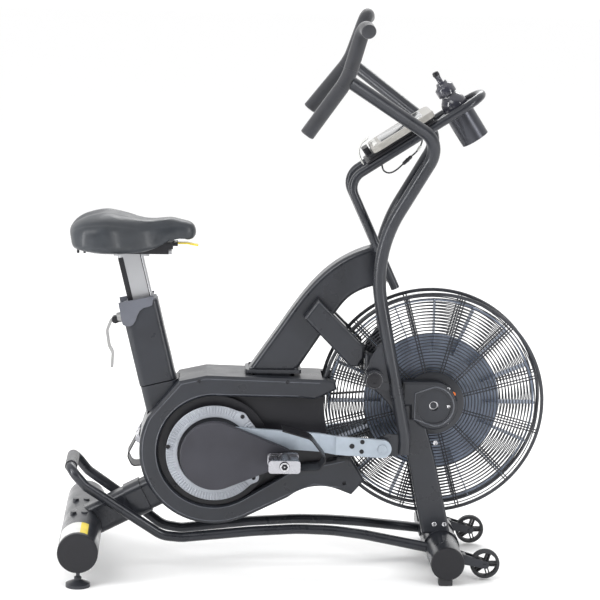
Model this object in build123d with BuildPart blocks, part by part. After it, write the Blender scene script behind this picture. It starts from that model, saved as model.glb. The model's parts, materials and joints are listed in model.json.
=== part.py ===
from build123d import *
import os
from math import atan2, cos, degrees, pi, radians, sin, sqrt, tan

# Air bike: seat and crank behind, caged fan in front, two push-pull handle arms driven by the cranks.
# Frame: +X forwards, +Y to the rider's left, +Z up, origin under the middle of the machine on the floor.
# Side outlines are drawn on planes whose local x is measured forwards from the crank axis and local y is Z.

os.makedirs("parts", exist_ok=True)

# ---------------------------------------------------------------- driving dimensions (mm)
CRANK_X = -226.0          # crank axis in the part's frame
CRANK_Z = 304.0
CRANK_LENGTH = 170.0
ECCENTRIC = 50.0          # throw of the pins that drive the handle arms
PIN_ANGLE = 87.0          # right pin, measured up from the forward crank

FAN = (549.0, 425.0)      # fan axis, from the crank axis and the floor
CAGE_R = 284.0
CAGE_HALF = 38.0          # half distance between the two guard faces
FAN_R = 262.0
PULLEY_R = 105.0
FAN_PULLEY_R = 26.25

REAR = (-332.0, 90.0)     # rear stabiliser axis
REAR_R = 50.0
REAR_HALF = 255.0
FRONT = (580.0, 57.0)     # front stabiliser axis
FRONT_R = 42.0
FRONT_HALF = 218.0
TUBE_WALL = 3.0

PIVOT = (393.0, 501.0)    # handle arm pivot
LINK_HOLE = (417.4, 326.0)
ARM_SPLIT = 3.4           # the left arm stands this many degrees ahead of the right one
ARM_R = 16.0
GRIP_R = 17.5
ARM_Y = 99.0

SEAT_LEAN = 13.6          # seat tube leans back from the vertical
POST_FOOT = (-189.0, 680.0)

HOUSING_R = 188.0
WINDOW_R = 141.0
HOUSING_HALF = 75.0
SHELL_WALL = 3.0

RING_R = 121.0
RING_INNER_R = 92.0
WEB_IN = 80.0             # inner face of the crank webs, from the centre plane
WEB_OUT = 92.0
LINK_IN = 96.0
LINK_OUT = 106.0
CRANK_IN = 110.0
CRANK_OUT = 124.0
COVER_OUT = 129.0

BELT_Y = 21.0             # belt's centre plane
BELT_WIDTH = 12.0
BELT_THICK = 4.0

RAIL_R = 12.7
LEG_IN = 43.0
LEG_OUT = 71.0

SIDES = (("right", -1), ("left", 1))


def side_plane(y):
    """Sketch plane facing the right side at this Y: local x from the crank axis, local y is Z."""
    return Plane(origin=(CRANK_X, y, 0), x_dir=(1, 0, 0), z_dir=(0, -1, 0))


def floor_plane(x, y, z):
    return Plane(origin=(CRANK_X + x, y, z), x_dir=(1, 0, 0), z_dir=(0, 0, 1))


def axle_plane(x, z, y=0.0):
    """Plane with its normal along +Y, its origin on an axis that runs across the machine."""
    return Plane(origin=(CRANK_X + x, y, z), x_dir=(1, 0, 0), z_dir=(0, 1, 0))


def drum(x, z, y0, y1, r):
    """Private cylinder along Y, from y0 to y1, used as a cutter or an added boss."""
    low, high = min(y0, y1), max(y0, y1)
    base = axle_plane(x, z, low)
    return base * Cylinder(r, high - low, align=(Align.CENTER, Align.CENTER, Align.MIN), mode=Mode.PRIVATE)


def block(x0, x1, y0, y1, z0, z1):
    """Private box between two corners, x measured from the crank axis."""
    low = (CRANK_X + min(x0, x1), min(y0, y1), min(z0, z1))
    return Pos(*low) * Box(abs(x1 - x0), abs(y1 - y0), abs(z1 - z0), align=Align.MIN, mode=Mode.PRIVATE)


def save(part, name):
    part.label = name
    export_step(part, f"parts/{name}.step")


def world(x, y, z):
    return (CRANK_X + x, y, z)


def arc_point(centre, r, angle):
    return (centre[0] + r * cos(radians(angle)), centre[1] + r * sin(radians(angle)))


# ---------------------------------------------------------------- stabilisers and their caps
with BuildPart() as rear_stabiliser:
    with BuildSketch(axle_plane(*REAR, -REAR_HALF + 8)):
        Circle(REAR_R)
        Circle(REAR_R - TUBE_WALL, mode=Mode.SUBTRACT)
    extrude(amount=2 * (REAR_HALF - 8))
    for side, s in SIDES:
        with BuildSketch(floor_plane(REAR[0], s * 228, 0)):
            Circle(5.06)
        extrude(amount=REAR[1], mode=Mode.SUBTRACT)
save(rear_stabiliser.part, "rear_stabiliser")

with BuildPart() as front_stabiliser:
    with BuildSketch(axle_plane(*FRONT, -FRONT_HALF + 8)):
        Circle(FRONT_R)
        Circle(FRONT_R - TUBE_WALL, mode=Mode.SUBTRACT)
    extrude(amount=2 * (FRONT_HALF - 8))
save(front_stabiliser.part, "front_stabiliser")

with BuildPart() as stabiliser_caps:
    for axis, radius, half in ((REAR, REAR_R, REAR_HALF), (FRONT, FRONT_R, FRONT_HALF)):
        for side, s in SIDES:
            outer = Plane(origin=world(axis[0], s * (half - 8), axis[1]), x_dir=(1, 0, 0), z_dir=(0, s, 0))
            with BuildPart(mode=Mode.PRIVATE) as cap:
                with BuildSketch(outer):
                    Circle(radius)
                extrude(amount=8)
                fillet(cap.faces().sort_by(Axis.Y)[-1 if s > 0 else 0].edges(), 3)
                with BuildSketch(outer):
                    Circle(radius - TUBE_WALL - 0.2)
                    Circle(radius - 3 * TUBE_WALL, mode=Mode.SUBTRACT)
                extrude(amount=-12)
            add(cap.part)
save(stabiliser_caps.part, "stabiliser_caps")

with BuildPart() as front_feet:
    for side, s in SIDES:
        with BuildSketch(floor_plane(FRONT[0] - 3, s * 198, 0)):
            RectangleRounded(34, 32, 6)
        extrude(amount=26)
    add(drum(*FRONT, -FRONT_HALF, FRONT_HALF, FRONT_R), mode=Mode.SUBTRACT)
save(front_feet.part, "front_feet")

for side, s in SIDES:
    with BuildPart() as levelling_foot:
        with BuildSketch(Plane.XZ.offset(-s * 228)):
            with BuildLine():
                foot_x = CRANK_X + REAR[0]
                Polyline((foot_x, 0), (foot_x + 30, 0), (foot_x + 30, 8), (foot_x + 14, 15), (foot_x + 9, 17),
                         (foot_x + 9, 24), (foot_x + 5, 24), (foot_x + 5, 76), (foot_x, 76), close=True)
            make_face()
        revolve(axis=Axis(origin=(foot_x, s * 228, 0), direction=(0, 0, 1)))
    save(levelling_foot.part, f"levelling_foot_{side}")

# ---------------------------------------------------------------- rear spar, seat tube and spine
SPAR_END = (-100.0, 210.0)
spar_angle = degrees(atan2(SPAR_END[1] - REAR[1] - 3, SPAR_END[0] - REAR[0]))
spar_dir = (cos(radians(spar_angle)), 0, sin(radians(spar_angle)))
with BuildPart() as rear_spar:
    start = Plane(origin=world(REAR[0], 0, REAR[1] + 3), x_dir=(0, 1, 0), z_dir=spar_dir)
    length = sqrt((SPAR_END[0] - REAR[0]) ** 2 + (SPAR_END[1] - REAR[1] - 3) ** 2)
    with BuildSketch(start):
        RectangleRounded(60, 80, 18)
    extrude(amount=length)
    with BuildSketch(start.offset(136)):
        RectangleRounded(68, 88, 22)
    extrude(amount=44)
    with BuildSketch(start.offset(-1)):
        RectangleRounded(54, 74, 15)
    extrude(amount=length + 2, mode=Mode.SUBTRACT)
    add(drum(*REAR, -REAR_HALF, REAR_HALF, REAR_R), mode=Mode.SUBTRACT)
save(rear_spar.part, "rear_spar")

lean = radians(SEAT_LEAN)
post_dir = (-sin(lean), 0, cos(lean))
across = (cos(lean), 0, sin(lean))


def post_plane(height):
    """Plane across the seat post's axis where the axis is at this height; local x runs forwards."""
    shift = (height - POST_FOOT[1]) * sin(lean) / cos(lean)
    return Plane(origin=world(POST_FOOT[0] - shift, 0, height), x_dir=across, z_dir=post_dir)


# The clamp's stud goes in square to the post from behind.
STUD_R = 5.0
clamp_plane = Plane(origin=post_plane(644).origin, x_dir=(0, 1, 0), z_dir=(-across[0], 0, -across[2]))

with BuildPart() as seat_tube:
    with BuildSketch(post_plane(380)):
        RectangleRounded(76, 60, 12)
        RectangleRounded(69, 53, 9, mode=Mode.SUBTRACT)
    extrude(amount=292.6)
    with BuildSketch(clamp_plane.offset(20)):
        Circle(STUD_R + 0.06)
    extrude(amount=40, mode=Mode.SUBTRACT)
save(seat_tube.part, "seat_tube")

with BuildPart() as seat_tube_covers:
    upper = post_plane(471)
    with BuildSketch(upper):
        with Locations((-5, 0)):
            RectangleRounded(94, 74, 16)
    extrude(amount=206)
    with BuildSketch(upper.offset(-66)):
        with Locations((-1, 0)):
            RectangleRounded(98, 80, 18)
    extrude(amount=64)
    with BuildSketch(post_plane(380)):
        RectangleRounded(76.6, 60.6, 12)
    extrude(amount=330, mode=Mode.SUBTRACT)
    with BuildSketch(clamp_plane.offset(20)):
        Circle(STUD_R + 0.06)
    extrude(amount=40, mode=Mode.SUBTRACT)
save(seat_tube_covers.part, "seat_tube_covers")

with BuildPart() as sleeve_insert:
    rim = post_plane(668)
    with BuildSketch(rim):
        RectangleRounded(68.4, 52.4, 9)
        RectangleRounded(62.6, 36.6, 8, mode=Mode.SUBTRACT)
    extrude(amount=14)
    with BuildSketch(post_plane(471).offset(206)):
        with Locations((-3, 0)):
            RectangleRounded(86, 66, 14)
        RectangleRounded(62.6, 36.6, 8, mode=Mode.SUBTRACT)
    extrude(amount=5)
    add(seat_tube.part, mode=Mode.SUBTRACT)
    add(seat_tube_covers.part, mode=Mode.SUBTRACT)
save(sleeve_insert.part, "sleeve_insert")


def plate(points, y0, y1):
    """Private plate: a polygon on the side plane, between two Y values."""
    with BuildPart(mode=Mode.PRIVATE) as made:
        with BuildSketch(side_plane(max(y0, y1))):
            with BuildLine():
                Polyline(*points, close=True)
            make_face()
        extrude(amount=abs(y1 - y0))
    return made.part


with BuildPart() as main_spine:
    add(drum(0, CRANK_Z, -56, 8, 29))
    rear_strut = [(-152, 222), (-118, 172), (-95, 186), (26, 286), (-20, 328), (-100, 262)]
    top_strut = [(-28, 300), (28, 300), (190, 478), (100, 478)]
    seat_strut = [(-150, 385), (-128, 350), (-30, 306), (16, 330), (-84, 404)]
    for outline in (rear_strut, top_strut, seat_strut):
        add(plate(outline, -36, -30))
    add(plate([(-28, 300), (28, 300), (190, 478), (100, 478)], -4, 4))
    add(block(100, 190, -36, 36, 472, 478))
    add(drum(0, CRANK_Z, -60, 10, 10.2), mode=Mode.SUBTRACT)
    add(drum(0, CRANK_Z, -60, -42, 17.5), mode=Mode.SUBTRACT)
    add(drum(0, CRANK_Z, -6, 10, 17.5), mode=Mode.SUBTRACT)
save(main_spine.part, "main_spine")

with BuildPart() as ball_bearings:
    seats = [(0, CRANK_Z, -54, 17.5, 10.0), (0, CRANK_Z, -6, 17.5, 10.0)]
    seats += [(*FAN, s * 58 - 6, 17.5, 8.0) for side, s in SIDES]
    for x, z, y, outer, inner in seats:
        with BuildSketch(axle_plane(x, z, y)):
            Circle(outer)
            Circle(inner, mode=Mode.SUBTRACT)
        extrude(amount=12)
save(ball_bearings.part, "ball_bearings")

# ---------------------------------------------------------------- crank housing, two C-shaped shells
UPPER_BAR_TIP = (304, 465)
LOWER_BAR_TIP = (347, 194)
with BuildSketch(Plane.XY) as housing_outline:
    with BuildLine():
        hub = (0, CRANK_Z)
        first = arc_point(hub, HOUSING_R, 153)
        low = arc_point(hub, HOUSING_R, 270)
        last = arc_point(hub, HOUSING_R, -64.5)
        near_low = arc_point(hub, WINDOW_R, -59.5)
        near_high = arc_point(hub, WINDOW_R, 84)
        Line((250, 439), UPPER_BAR_TIP)
        Line(UPPER_BAR_TIP, (300, 486))
        Line((300, 486), (266, 489))
        Line((266, 489), (-21, 497))
        Line((-21, 497), (-90, 482))
        Line((-90, 482), first)
        ThreePointArc(first, arc_point(hub, HOUSING_R, 210), low)
        ThreePointArc(low, arc_point(hub, HOUSING_R, -80), last)
        Line(last, (187, 186))
        ThreePointArc((187, 186), (250, 214), (316, 206))
        Line((316, 206), LOWER_BAR_TIP)
        Line(LOWER_BAR_TIP, (379, 231))
        Line((379, 231), (345, 288))
        Line((345, 288), (330, 288))
        ThreePointArc((330, 288), (276, 276), (223, 271))
        Line((223, 271), near_low)
        ThreePointArc(near_low, arc_point(hub, WINDOW_R, 180), near_high)
        Line(near_high, (212, 443))
        Line((212, 443), (250, 439))
    make_face()
with BuildSketch(Plane.XY) as housing_inside:
    add(housing_outline.sketch)
    offset(amount=-SHELL_WALL, kind=Kind.INTERSECTION, mode=Mode.REPLACE)

housings = []
for side, s in SIDES:
    with BuildPart() as housing:
        with BuildSketch(side_plane(0)):
            add(housing_outline.sketch)
        extrude(amount=HOUSING_HALF, dir=(0, s, 0))
        chamfer(housing.faces().sort_by(Axis.Y)[-1 if s > 0 else 0].edges(), 5)
        with BuildSketch(side_plane(0)):
            add(housing_inside.sketch)
        extrude(amount=HOUSING_HALF - SHELL_WALL, dir=(0, s, 0), mode=Mode.SUBTRACT)
        with BuildSketch(post_plane(371)):
            RectangleRounded(101, 84, 18)
        extrude(amount=150, mode=Mode.SUBTRACT)
        add(block(90, 200, -42, 42, 470, 520), mode=Mode.SUBTRACT)
        add(rear_spar.part, mode=Mode.SUBTRACT)
        add(main_spine.part, mode=Mode.SUBTRACT)
        with BuildSketch(Plane(origin=world(REAR[0], 0, REAR[1] + 3), x_dir=(0, 1, 0), z_dir=spar_dir)):
            RectangleRounded(61, 81, 18)
        extrude(amount=300, mode=Mode.SUBTRACT)
        add(drum(328, 224, s * 60, s * 80, 5), mode=Mode.SUBTRACT)
        add(drum(*FAN, 0, s * 44, CAGE_R + 3), mode=Mode.SUBTRACT)
    save(housing.part, f"housing_{side}")
    housings.append(housing.part)

# Dark panels close the mouths of the shells between the two bars.
MOUTH = [(14, 446), (212, 446), (256, 441), (263, 420), (265, 395), (270, 360), (280, 326), (300, 284),
         (250, 270), (223, 268), (70, 180), (14, 162)]
with BuildPart(mode=Mode.PRIVATE) as mouth_panels:
    for (side, s), housing_solid in zip(SIDES, housings):
        with BuildPart(mode=Mode.PRIVATE) as panel:
            add(plate(MOUTH, s * 46, s * 49))
            add(drum(0, CRANK_Z, s * 40, s * 60, 60), mode=Mode.SUBTRACT)
            add(housing_solid, mode=Mode.SUBTRACT)
        add(panel.part.solids().sort_by(SortBy.VOLUME)[-1])

with BuildPart() as dust_covers:
    for side, s in SIDES:
        with BuildSketch(side_plane(s * 66)):
            with Locations((0, CRANK_Z)):
                Circle(WINDOW_R - 0.3)
                Circle(24, mode=Mode.SUBTRACT)
        extrude(amount=2.5, dir=(0, -s, 0))
    add(mouth_panels.part)
save(dust_covers.part, "dust_covers")

# ---------------------------------------------------------------- main beam and its flange
with BuildSketch(Plane.XY) as beam_outline:
    with BuildLine():
        Line((208, 507), (86, 507))
        Line((86, 507), (150, 600))
        outer = Spline((150, 600), (248, 733), (305, 782), (361, 811), (426, 826),
                       tangents=((0.566, 0.824), (1, 0.12)))
        Line((426, 826), (426, 728))
        Spline((426, 728), (364, 710), (334, 692), (304, 657), (262, 590),
               tangents=((-1, -0.2), (-0.53, -0.848)))
        Line((262, 590), (208, 507))
    make_face()
# The hollow is open towards the mounting flange.
BEAM_INSIDE = [(196, 500), (102, 500), (156, 595), (252, 724), (307, 774), (362, 804), (420, 817), (420, 735),
               (360, 717), (328, 699), (297, 662), (255, 595)]
with BuildPart() as main_beam:
    with BuildSketch(side_plane(30)):
        add(beam_outline.sketch)
    extrude(amount=60)
    long_edges = [edge for edge in main_beam.edges()
                  if abs(abs(edge.center().Y) - 30) < 0.1 and edge.bounding_box().min.Z > 507.5]
    fillet(long_edges, 12)
    add(plate(BEAM_INSIDE, -25, 25), mode=Mode.SUBTRACT)
save(main_beam.part, "main_beam")

with BuildPart() as mounting_plates:
    with BuildSketch(floor_plane(146, 0, 497.5)):
        RectangleRounded(140, 82, 10)
    extrude(amount=9.5)
    with BuildSketch(floor_plane(145, 0, 478)):
        RectangleRounded(88, 72, 6)
    extrude(amount=20)
    for side, s in SIDES:
        saddle = side_plane(s * 34)
        with BuildSketch(saddle):
            with Locations(FRONT):
                Circle(FRONT_R + 4)
                Circle(FRONT_R, mode=Mode.SUBTRACT)
                Rectangle(200, 100, align=(Align.CENTER, Align.MAX), mode=Mode.SUBTRACT)
        extrude(amount=38, dir=(0, s, 0))
save(mounting_plates.part, "mounting_plates")

# ---------------------------------------------------------------- fan support: braces, legs, arm pivots
with BuildPart() as fan_braces:
    for side, s in SIDES:
        with BuildPart(mode=Mode.PRIVATE) as brace:
            with BuildSketch(side_plane(s * 30)):
                with BuildLine():
                    Polyline((219, 643), (255, 692), (372, 574), (372, 545), (358, 522), (337, 522), close=True)
                make_face()
            extrude(amount=37, dir=(0, s, 0))
            side_face = brace.faces().sort_by(Axis.Y)[-1 if s > 0 else 0]
            fillet(side_face.edges(), 8)
            add(drum(*FAN, s * 29, s * LEG_IN, CAGE_R + 8), mode=Mode.SUBTRACT)
        add(brace.part)
save(fan_braces.part, "fan_braces")

with BuildSketch(Plane.XY) as leg_outline:
    with BuildLine():
        Line((372.6, 522), (372.6, 560))
        Spline((372.6, 560), (425, 528), (469, 482), (524, 390), (569, 232), (602, 92),
               tangents=((1, -0.2), (0.23, -1)))
        Line((602, 92), (530, 92))
        Spline((530, 92), (514, 162), (493, 268), (468, 352), (432, 430), (372.6, 480),
               tangents=((-0.22, 1), (-1, 0.5)))
        Line((372.6, 480), (372.6, 522))
    make_face()
# The hollow is open at the foot and stops short of the arm pivot.
LEG_INSIDE = [(541, 80), (590, 80), (559, 229), (514, 384), (462, 472), (434, 500), (426, 482), (443, 436),
              (479, 356), (504, 270), (525, 164)]
with BuildPart() as front_legs:
    for side, s in SIDES:
        with BuildPart(mode=Mode.PRIVATE) as leg:
            with BuildSketch(side_plane(s * LEG_IN)):
                add(leg_outline.sketch)
            extrude(amount=LEG_OUT - LEG_IN, dir=(0, s, 0))
            side_face = leg.faces().sort_by(Axis.Y)[-1 if s > 0 else 0]
            fillet(side_face.edges(), 7)
            add(plate(LEG_INSIDE, s * (LEG_IN + 3.5), s * (LEG_OUT - 3.5)), mode=Mode.SUBTRACT)
            add(drum(*FRONT, s * 30, s * 80, FRONT_R + 4), mode=Mode.SUBTRACT)
            add(drum(*PIVOT, s * 30, s * 80, 10), mode=Mode.SUBTRACT)
        add(leg.part)
save(front_legs.part, "front_legs")

with BuildPart() as arm_pivot_shafts:
    for side, s in SIDES:
        for y0, y1, r in ((44, 124, 10), (LEG_OUT, 76, 15), (122, 127, 20)):
            add(drum(*PIVOT, s * y0, s * y1, r))
        with BuildSketch(axle_plane(*PIVOT, s * (124.6 if s > 0 else 127.0))):
            Circle(5)
        extrude(amount=2.4, mode=Mode.SUBTRACT)
save(arm_pivot_shafts.part, "arm_pivot_shafts")

# ---------------------------------------------------------------- side rail loop
RAIL_SIDE = [(-358, 0, 258), (-358, 86, 258), (-322, 80, 214), (-205, 66, 133), (-128, 50, 78), (-79, 45, 72),
             (97, 48, 90), (215, 48, 97), (300, 51, 95), (383, 61, 87), (575, 96, 58)]
RAIL_RADII = [26, 40, 90, 70, 60, 600, 500, 500, 400]
with BuildPart() as side_rails:
    for side, s in SIDES:
        with BuildLine() as rail_path:
            FilletPolyline(*[world(x, s * y, z) for x, y, z in RAIL_SIDE], radius=RAIL_RADII)
        with BuildSketch(Plane(origin=rail_path.line @ 0, z_dir=rail_path.line % 0)):
            Circle(RAIL_R)
            Circle(RAIL_R - 2, mode=Mode.SUBTRACT)
        sweep(path=rail_path.line)
    add(drum(*FRONT, -200, 200, FRONT_R), mode=Mode.SUBTRACT)
    add(mounting_plates.part, mode=Mode.SUBTRACT)
    add(rear_spar.part, mode=Mode.SUBTRACT)
save(side_rails.part, "side_rails")

with BuildPart() as rear_handle_sleeve:
    add(drum(RAIL_SIDE[0][0], RAIL_SIDE[0][2], -56, 56, RAIL_R + 3))
    add(drum(RAIL_SIDE[0][0], RAIL_SIDE[0][2], -70, 70, RAIL_R), mode=Mode.SUBTRACT)
    fillet(rear_handle_sleeve.edges().filter_by(GeomType.CIRCLE).filter_by(lambda e: e.radius > RAIL_R + 1), 1.2)
save(rear_handle_sleeve.part, "rear_handle_sleeve")

# ---------------------------------------------------------------- fan, guards, hub covers
HUB_PLATE_R = 78.0
with BuildSketch(Plane.XY) as guard_pattern:
    Circle(CAGE_R)
    Circle(CAGE_R - 8, mode=Mode.SUBTRACT)
    Circle(HUB_PLATE_R)
    for ring in range(11):
        with BuildSketch(Plane.XY, mode=Mode.PRIVATE) as wire_ring:
            Circle(94 + 16 * ring + 1.6)
            Circle(94 + 16 * ring - 1.6, mode=Mode.SUBTRACT)
        add(wire_ring.sketch)
    with PolarLocations(0, 12):
        with Locations((0.5 * (HUB_PLATE_R + CAGE_R) - 4, 0)):
            Rectangle(CAGE_R - HUB_PLATE_R - 4, 7)
for side, s in SIDES:
    with BuildPart() as fan_guard:
        with BuildSketch(axle_plane(*FAN, s * CAGE_HALF)):
            add(guard_pattern.sketch)
        extrude(amount=3 * s)
        with BuildSketch(axle_plane(*FAN, s * (CAGE_HALF - 6))):
            Circle(CAGE_R)
            Circle(CAGE_R - 4, mode=Mode.SUBTRACT)
        extrude(amount=9 * s)
        add(drum(*FAN, s * 30, s * 50, 9), mode=Mode.SUBTRACT)
    save(fan_guard.part, f"fan_guard_{side}")

with BuildPart() as hub_covers:
    for side, s in SIDES:
        with BuildPart(mode=Mode.PRIVATE) as cover:
            with BuildSketch(side_plane(s * (CAGE_HALF + 3))):
                with Locations(FAN):
                    Circle(61)
                with Locations((FAN[0] - 40, FAN[1] + 30.5)):
                    Rectangle(80, 61)
                with Locations((FAN[0] - 30, FAN[1] - 15)):
                    Rectangle(60, 40)
            extrude(amount=37, dir=(0, s, 0))
            face = cover.faces().sort_by(Axis.Y)[-1 if s > 0 else 0]
            chamfer(face.edges(), 5)
            add(drum(*FAN, s * 74, s * 90, 44), mode=Mode.SUBTRACT)
            add(drum(*FAN, s * 64, s * 90, 12), mode=Mode.SUBTRACT)
            add(drum(*FAN, s * 52, s * 64, 17.5), mode=Mode.SUBTRACT)
            add(drum(*FAN, s * 40, s * 52, 50), mode=Mode.SUBTRACT)
            with BuildSketch(side_plane(s * 40)):
                add(leg_outline.sketch)
            extrude(amount=LEG_OUT - 40, dir=(0, s, 0), mode=Mode.SUBTRACT)
        add(cover.part)
save(hub_covers.part, "hub_covers")

with BuildPart() as fan_wheel:
    with BuildSketch(axle_plane(*FAN, -6)):
        Circle(172)
        Circle(8, mode=Mode.SUBTRACT)
    extrude(amount=3)
    with BuildSketch(axle_plane(*FAN, -14)):
        Circle(24)
        Circle(8, mode=Mode.SUBTRACT)
    extrude(amount=22)
    with BuildSketch(axle_plane(*FAN, -30)):
        with PolarLocations(0, 16):
            with Locations((0.5 * (FAN_R + 130), 0)):
                Rectangle(FAN_R - 130, 2)
    extrude(amount=38)
    with BuildSketch(axle_plane(*FAN, -6)):
        Circle(FAN_R)
        Circle(FAN_R - 5, mode=Mode.SUBTRACT)
    extrude(amount=4)
save(fan_wheel.part, "fan_wheel")

with BuildPart() as fan_shaft:
    add(drum(*FAN, -66, 66, 8))
    add(drum(*FAN, BELT_Y - 8, BELT_Y + 8, FAN_PULLEY_R))
    for y in (BELT_Y - 8, BELT_Y + 6.5):
        add(drum(*FAN, y, y + 1.5, FAN_PULLEY_R + BELT_THICK))
save(fan_shaft.part, "fan_shaft")

belt_span = sqrt(FAN[0] ** 2 + (FAN[1] - CRANK_Z) ** 2)
belt_tilt = degrees(atan2(FAN[1] - CRANK_Z, FAN[0]))
belt_wrap = degrees(atan2(sqrt(belt_span ** 2 - (PULLEY_R - FAN_PULLEY_R) ** 2), PULLEY_R - FAN_PULLEY_R))


def belt_loop(clearance):
    """Belt run at this distance outside both pulleys, in the side plane's coordinates."""
    big, small = PULLEY_R + clearance, FAN_PULLEY_R + clearance
    hub = (0, CRANK_Z)
    a, b = belt_tilt + belt_wrap, belt_tilt - belt_wrap
    with BuildSketch(Plane.XY, mode=Mode.PRIVATE) as loop:
        with BuildLine():
            Line(arc_point(hub, big, a), arc_point(FAN, small, a))
            ThreePointArc(arc_point(FAN, small, a), arc_point(FAN, small, belt_tilt), arc_point(FAN, small, b))
            Line(arc_point(FAN, small, b), arc_point(hub, big, b))
            ThreePointArc(arc_point(hub, big, b), arc_point(hub, big, belt_tilt + 180), arc_point(hub, big, a))
        make_face()
    return loop.sketch


with BuildPart() as drive_belt:
    with BuildSketch(side_plane(BELT_Y + BELT_WIDTH / 2)):
        add(belt_loop(0.3 + BELT_THICK - 0.8))
        add(belt_loop(0.3), mode=Mode.SUBTRACT)
    extrude(amount=BELT_WIDTH)
save(drive_belt.part, "drive_belt")

# ---------------------------------------------------------------- crank assembly
with BuildPart() as crankshaft:
    add(drum(0, CRANK_Z, -WEB_IN, WEB_IN, 10))
    add(drum(0, CRANK_Z, 8.5, 12.5, 24))
save(crankshaft.part, "crankshaft")

with BuildPart() as drive_pulley:
    with BuildSketch(axle_plane(0, CRANK_Z, BELT_Y - 8)):
        Circle(PULLEY_R)
        Circle(10, mode=Mode.SUBTRACT)
        with PolarLocations(62, 6):
            Circle(22, mode=Mode.SUBTRACT)
    extrude(amount=16)
    for y in (BELT_Y - 8, BELT_Y + 6.5):
        with BuildSketch(axle_plane(0, CRANK_Z, y)):
            Circle(PULLEY_R + BELT_THICK)
            Circle(PULLEY_R, mode=Mode.SUBTRACT)
        extrude(amount=1.5)
    add(drum(0, CRANK_Z, 8, 12.5, 24), mode=Mode.SUBTRACT)
save(drive_pulley.part, "drive_pulley")

pins = {s: arc_point((0, CRANK_Z), ECCENTRIC, PIN_ANGLE if s < 0 else PIN_ANGLE + 180) for side, s in SIDES}
pedals = {s: (CRANK_LENGTH * -s, CRANK_Z) for side, s in SIDES}

with BuildPart() as crank_webs:
    for side, s in SIDES:
        add(drum(0, CRANK_Z, s * WEB_IN, s * (WEB_OUT - 3), RING_INNER_R + 6))
        add(drum(0, CRANK_Z, s * 70, s * WEB_IN, 22))
    add(drum(0, CRANK_Z, -WEB_IN, WEB_IN, 10), mode=Mode.SUBTRACT)
save(crank_webs.part, "crank_webs")

with BuildSketch(Plane.XY) as ring_outline:
    Circle(RING_R)
    for angle, reach in ((54, 124), (-32, 128)):
        with Locations(arc_point((0, 0), reach - 16, angle)):
            Circle(17)
    Circle(RING_INNER_R, mode=Mode.SUBTRACT)
with BuildPart() as ribbed_rings:
    for side, s in SIDES:
        with BuildPart(mode=Mode.PRIVATE) as ring:
            turn = 0 if s < 0 else 180
            ring_plane = side_plane(s * (WEB_OUT - 3))
            with BuildSketch(ring_plane):
                with Locations(Location((0, CRANK_Z), turn)):
                    add(ring_outline.sketch)
            extrude(amount=6, dir=(0, s, 0))
        add(ring.part)
save(ribbed_rings.part, "ribbed_rings")

with BuildPart() as crank_arms:
    for side, s in SIDES:
        pin, spindle = pins[s], pedals[s]
        middle = (0.5 * (pin[0] + spindle[0]), 0.5 * (pin[1] + spindle[1]))
        run = (spindle[0] - pin[0], spindle[1] - pin[1])
        with BuildPart(mode=Mode.PRIVATE) as crank_arm:
            with BuildSketch(side_plane(s * CRANK_IN)):
                with Locations(Location(middle, degrees(atan2(run[1], run[0])))):
                    SlotCenterToCenter(sqrt(run[0] ** 2 + run[1] ** 2), 32)
            extrude(amount=CRANK_OUT - CRANK_IN, dir=(0, s, 0))
            add(drum(*pin, s * (WEB_OUT - 3), s * CRANK_IN, 8))
            add(drum(*spindle, s * 100, s * 130, 9), mode=Mode.SUBTRACT)
        add(crank_arm.part)
save(crank_arms.part, "crank_arms")

with BuildPart() as pedal_spindles:
    for side, s in SIDES:
        add(drum(*pedals[s], s * CRANK_IN, s * 132, 9))
        add(drum(*pedals[s], s * 132, s * 226, 7))
        add(drum(*pedals[s], s * 226, s * 229, 11))
save(pedal_spindles.part, "pedal_spindles")

COVER_R = 86.0
with BuildPart() as crank_covers:
    for side, s in SIDES:
        turn = 1 if s < 0 else -1
        tip = (CRANK_LENGTH * turn, CRANK_Z)
        with BuildPart(mode=Mode.PRIVATE) as crank_cover:
            for inset, y0, mode in ((0, CRANK_IN - 2, Mode.ADD), (3, CRANK_IN - 2, Mode.SUBTRACT)):
                with BuildSketch(side_plane(s * y0)):
                    with Locations((0, CRANK_Z)):
                        Circle(COVER_R - inset)
                    with Locations(tip):
                        Circle(22 - inset)
                    make_hull()
                extrude(amount=COVER_OUT - y0 - inset, dir=(0, s, 0), mode=mode)
                if inset == 0:
                    fillet(crank_cover.faces().sort_by(Axis.Y)[-1 if s > 0 else 0].edges(), 2.5)
            add(drum(*tip, s * 100, s * 140, 9.5), mode=Mode.SUBTRACT)
        add(crank_cover.part)
save(crank_covers.part, "crank_covers")

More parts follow.
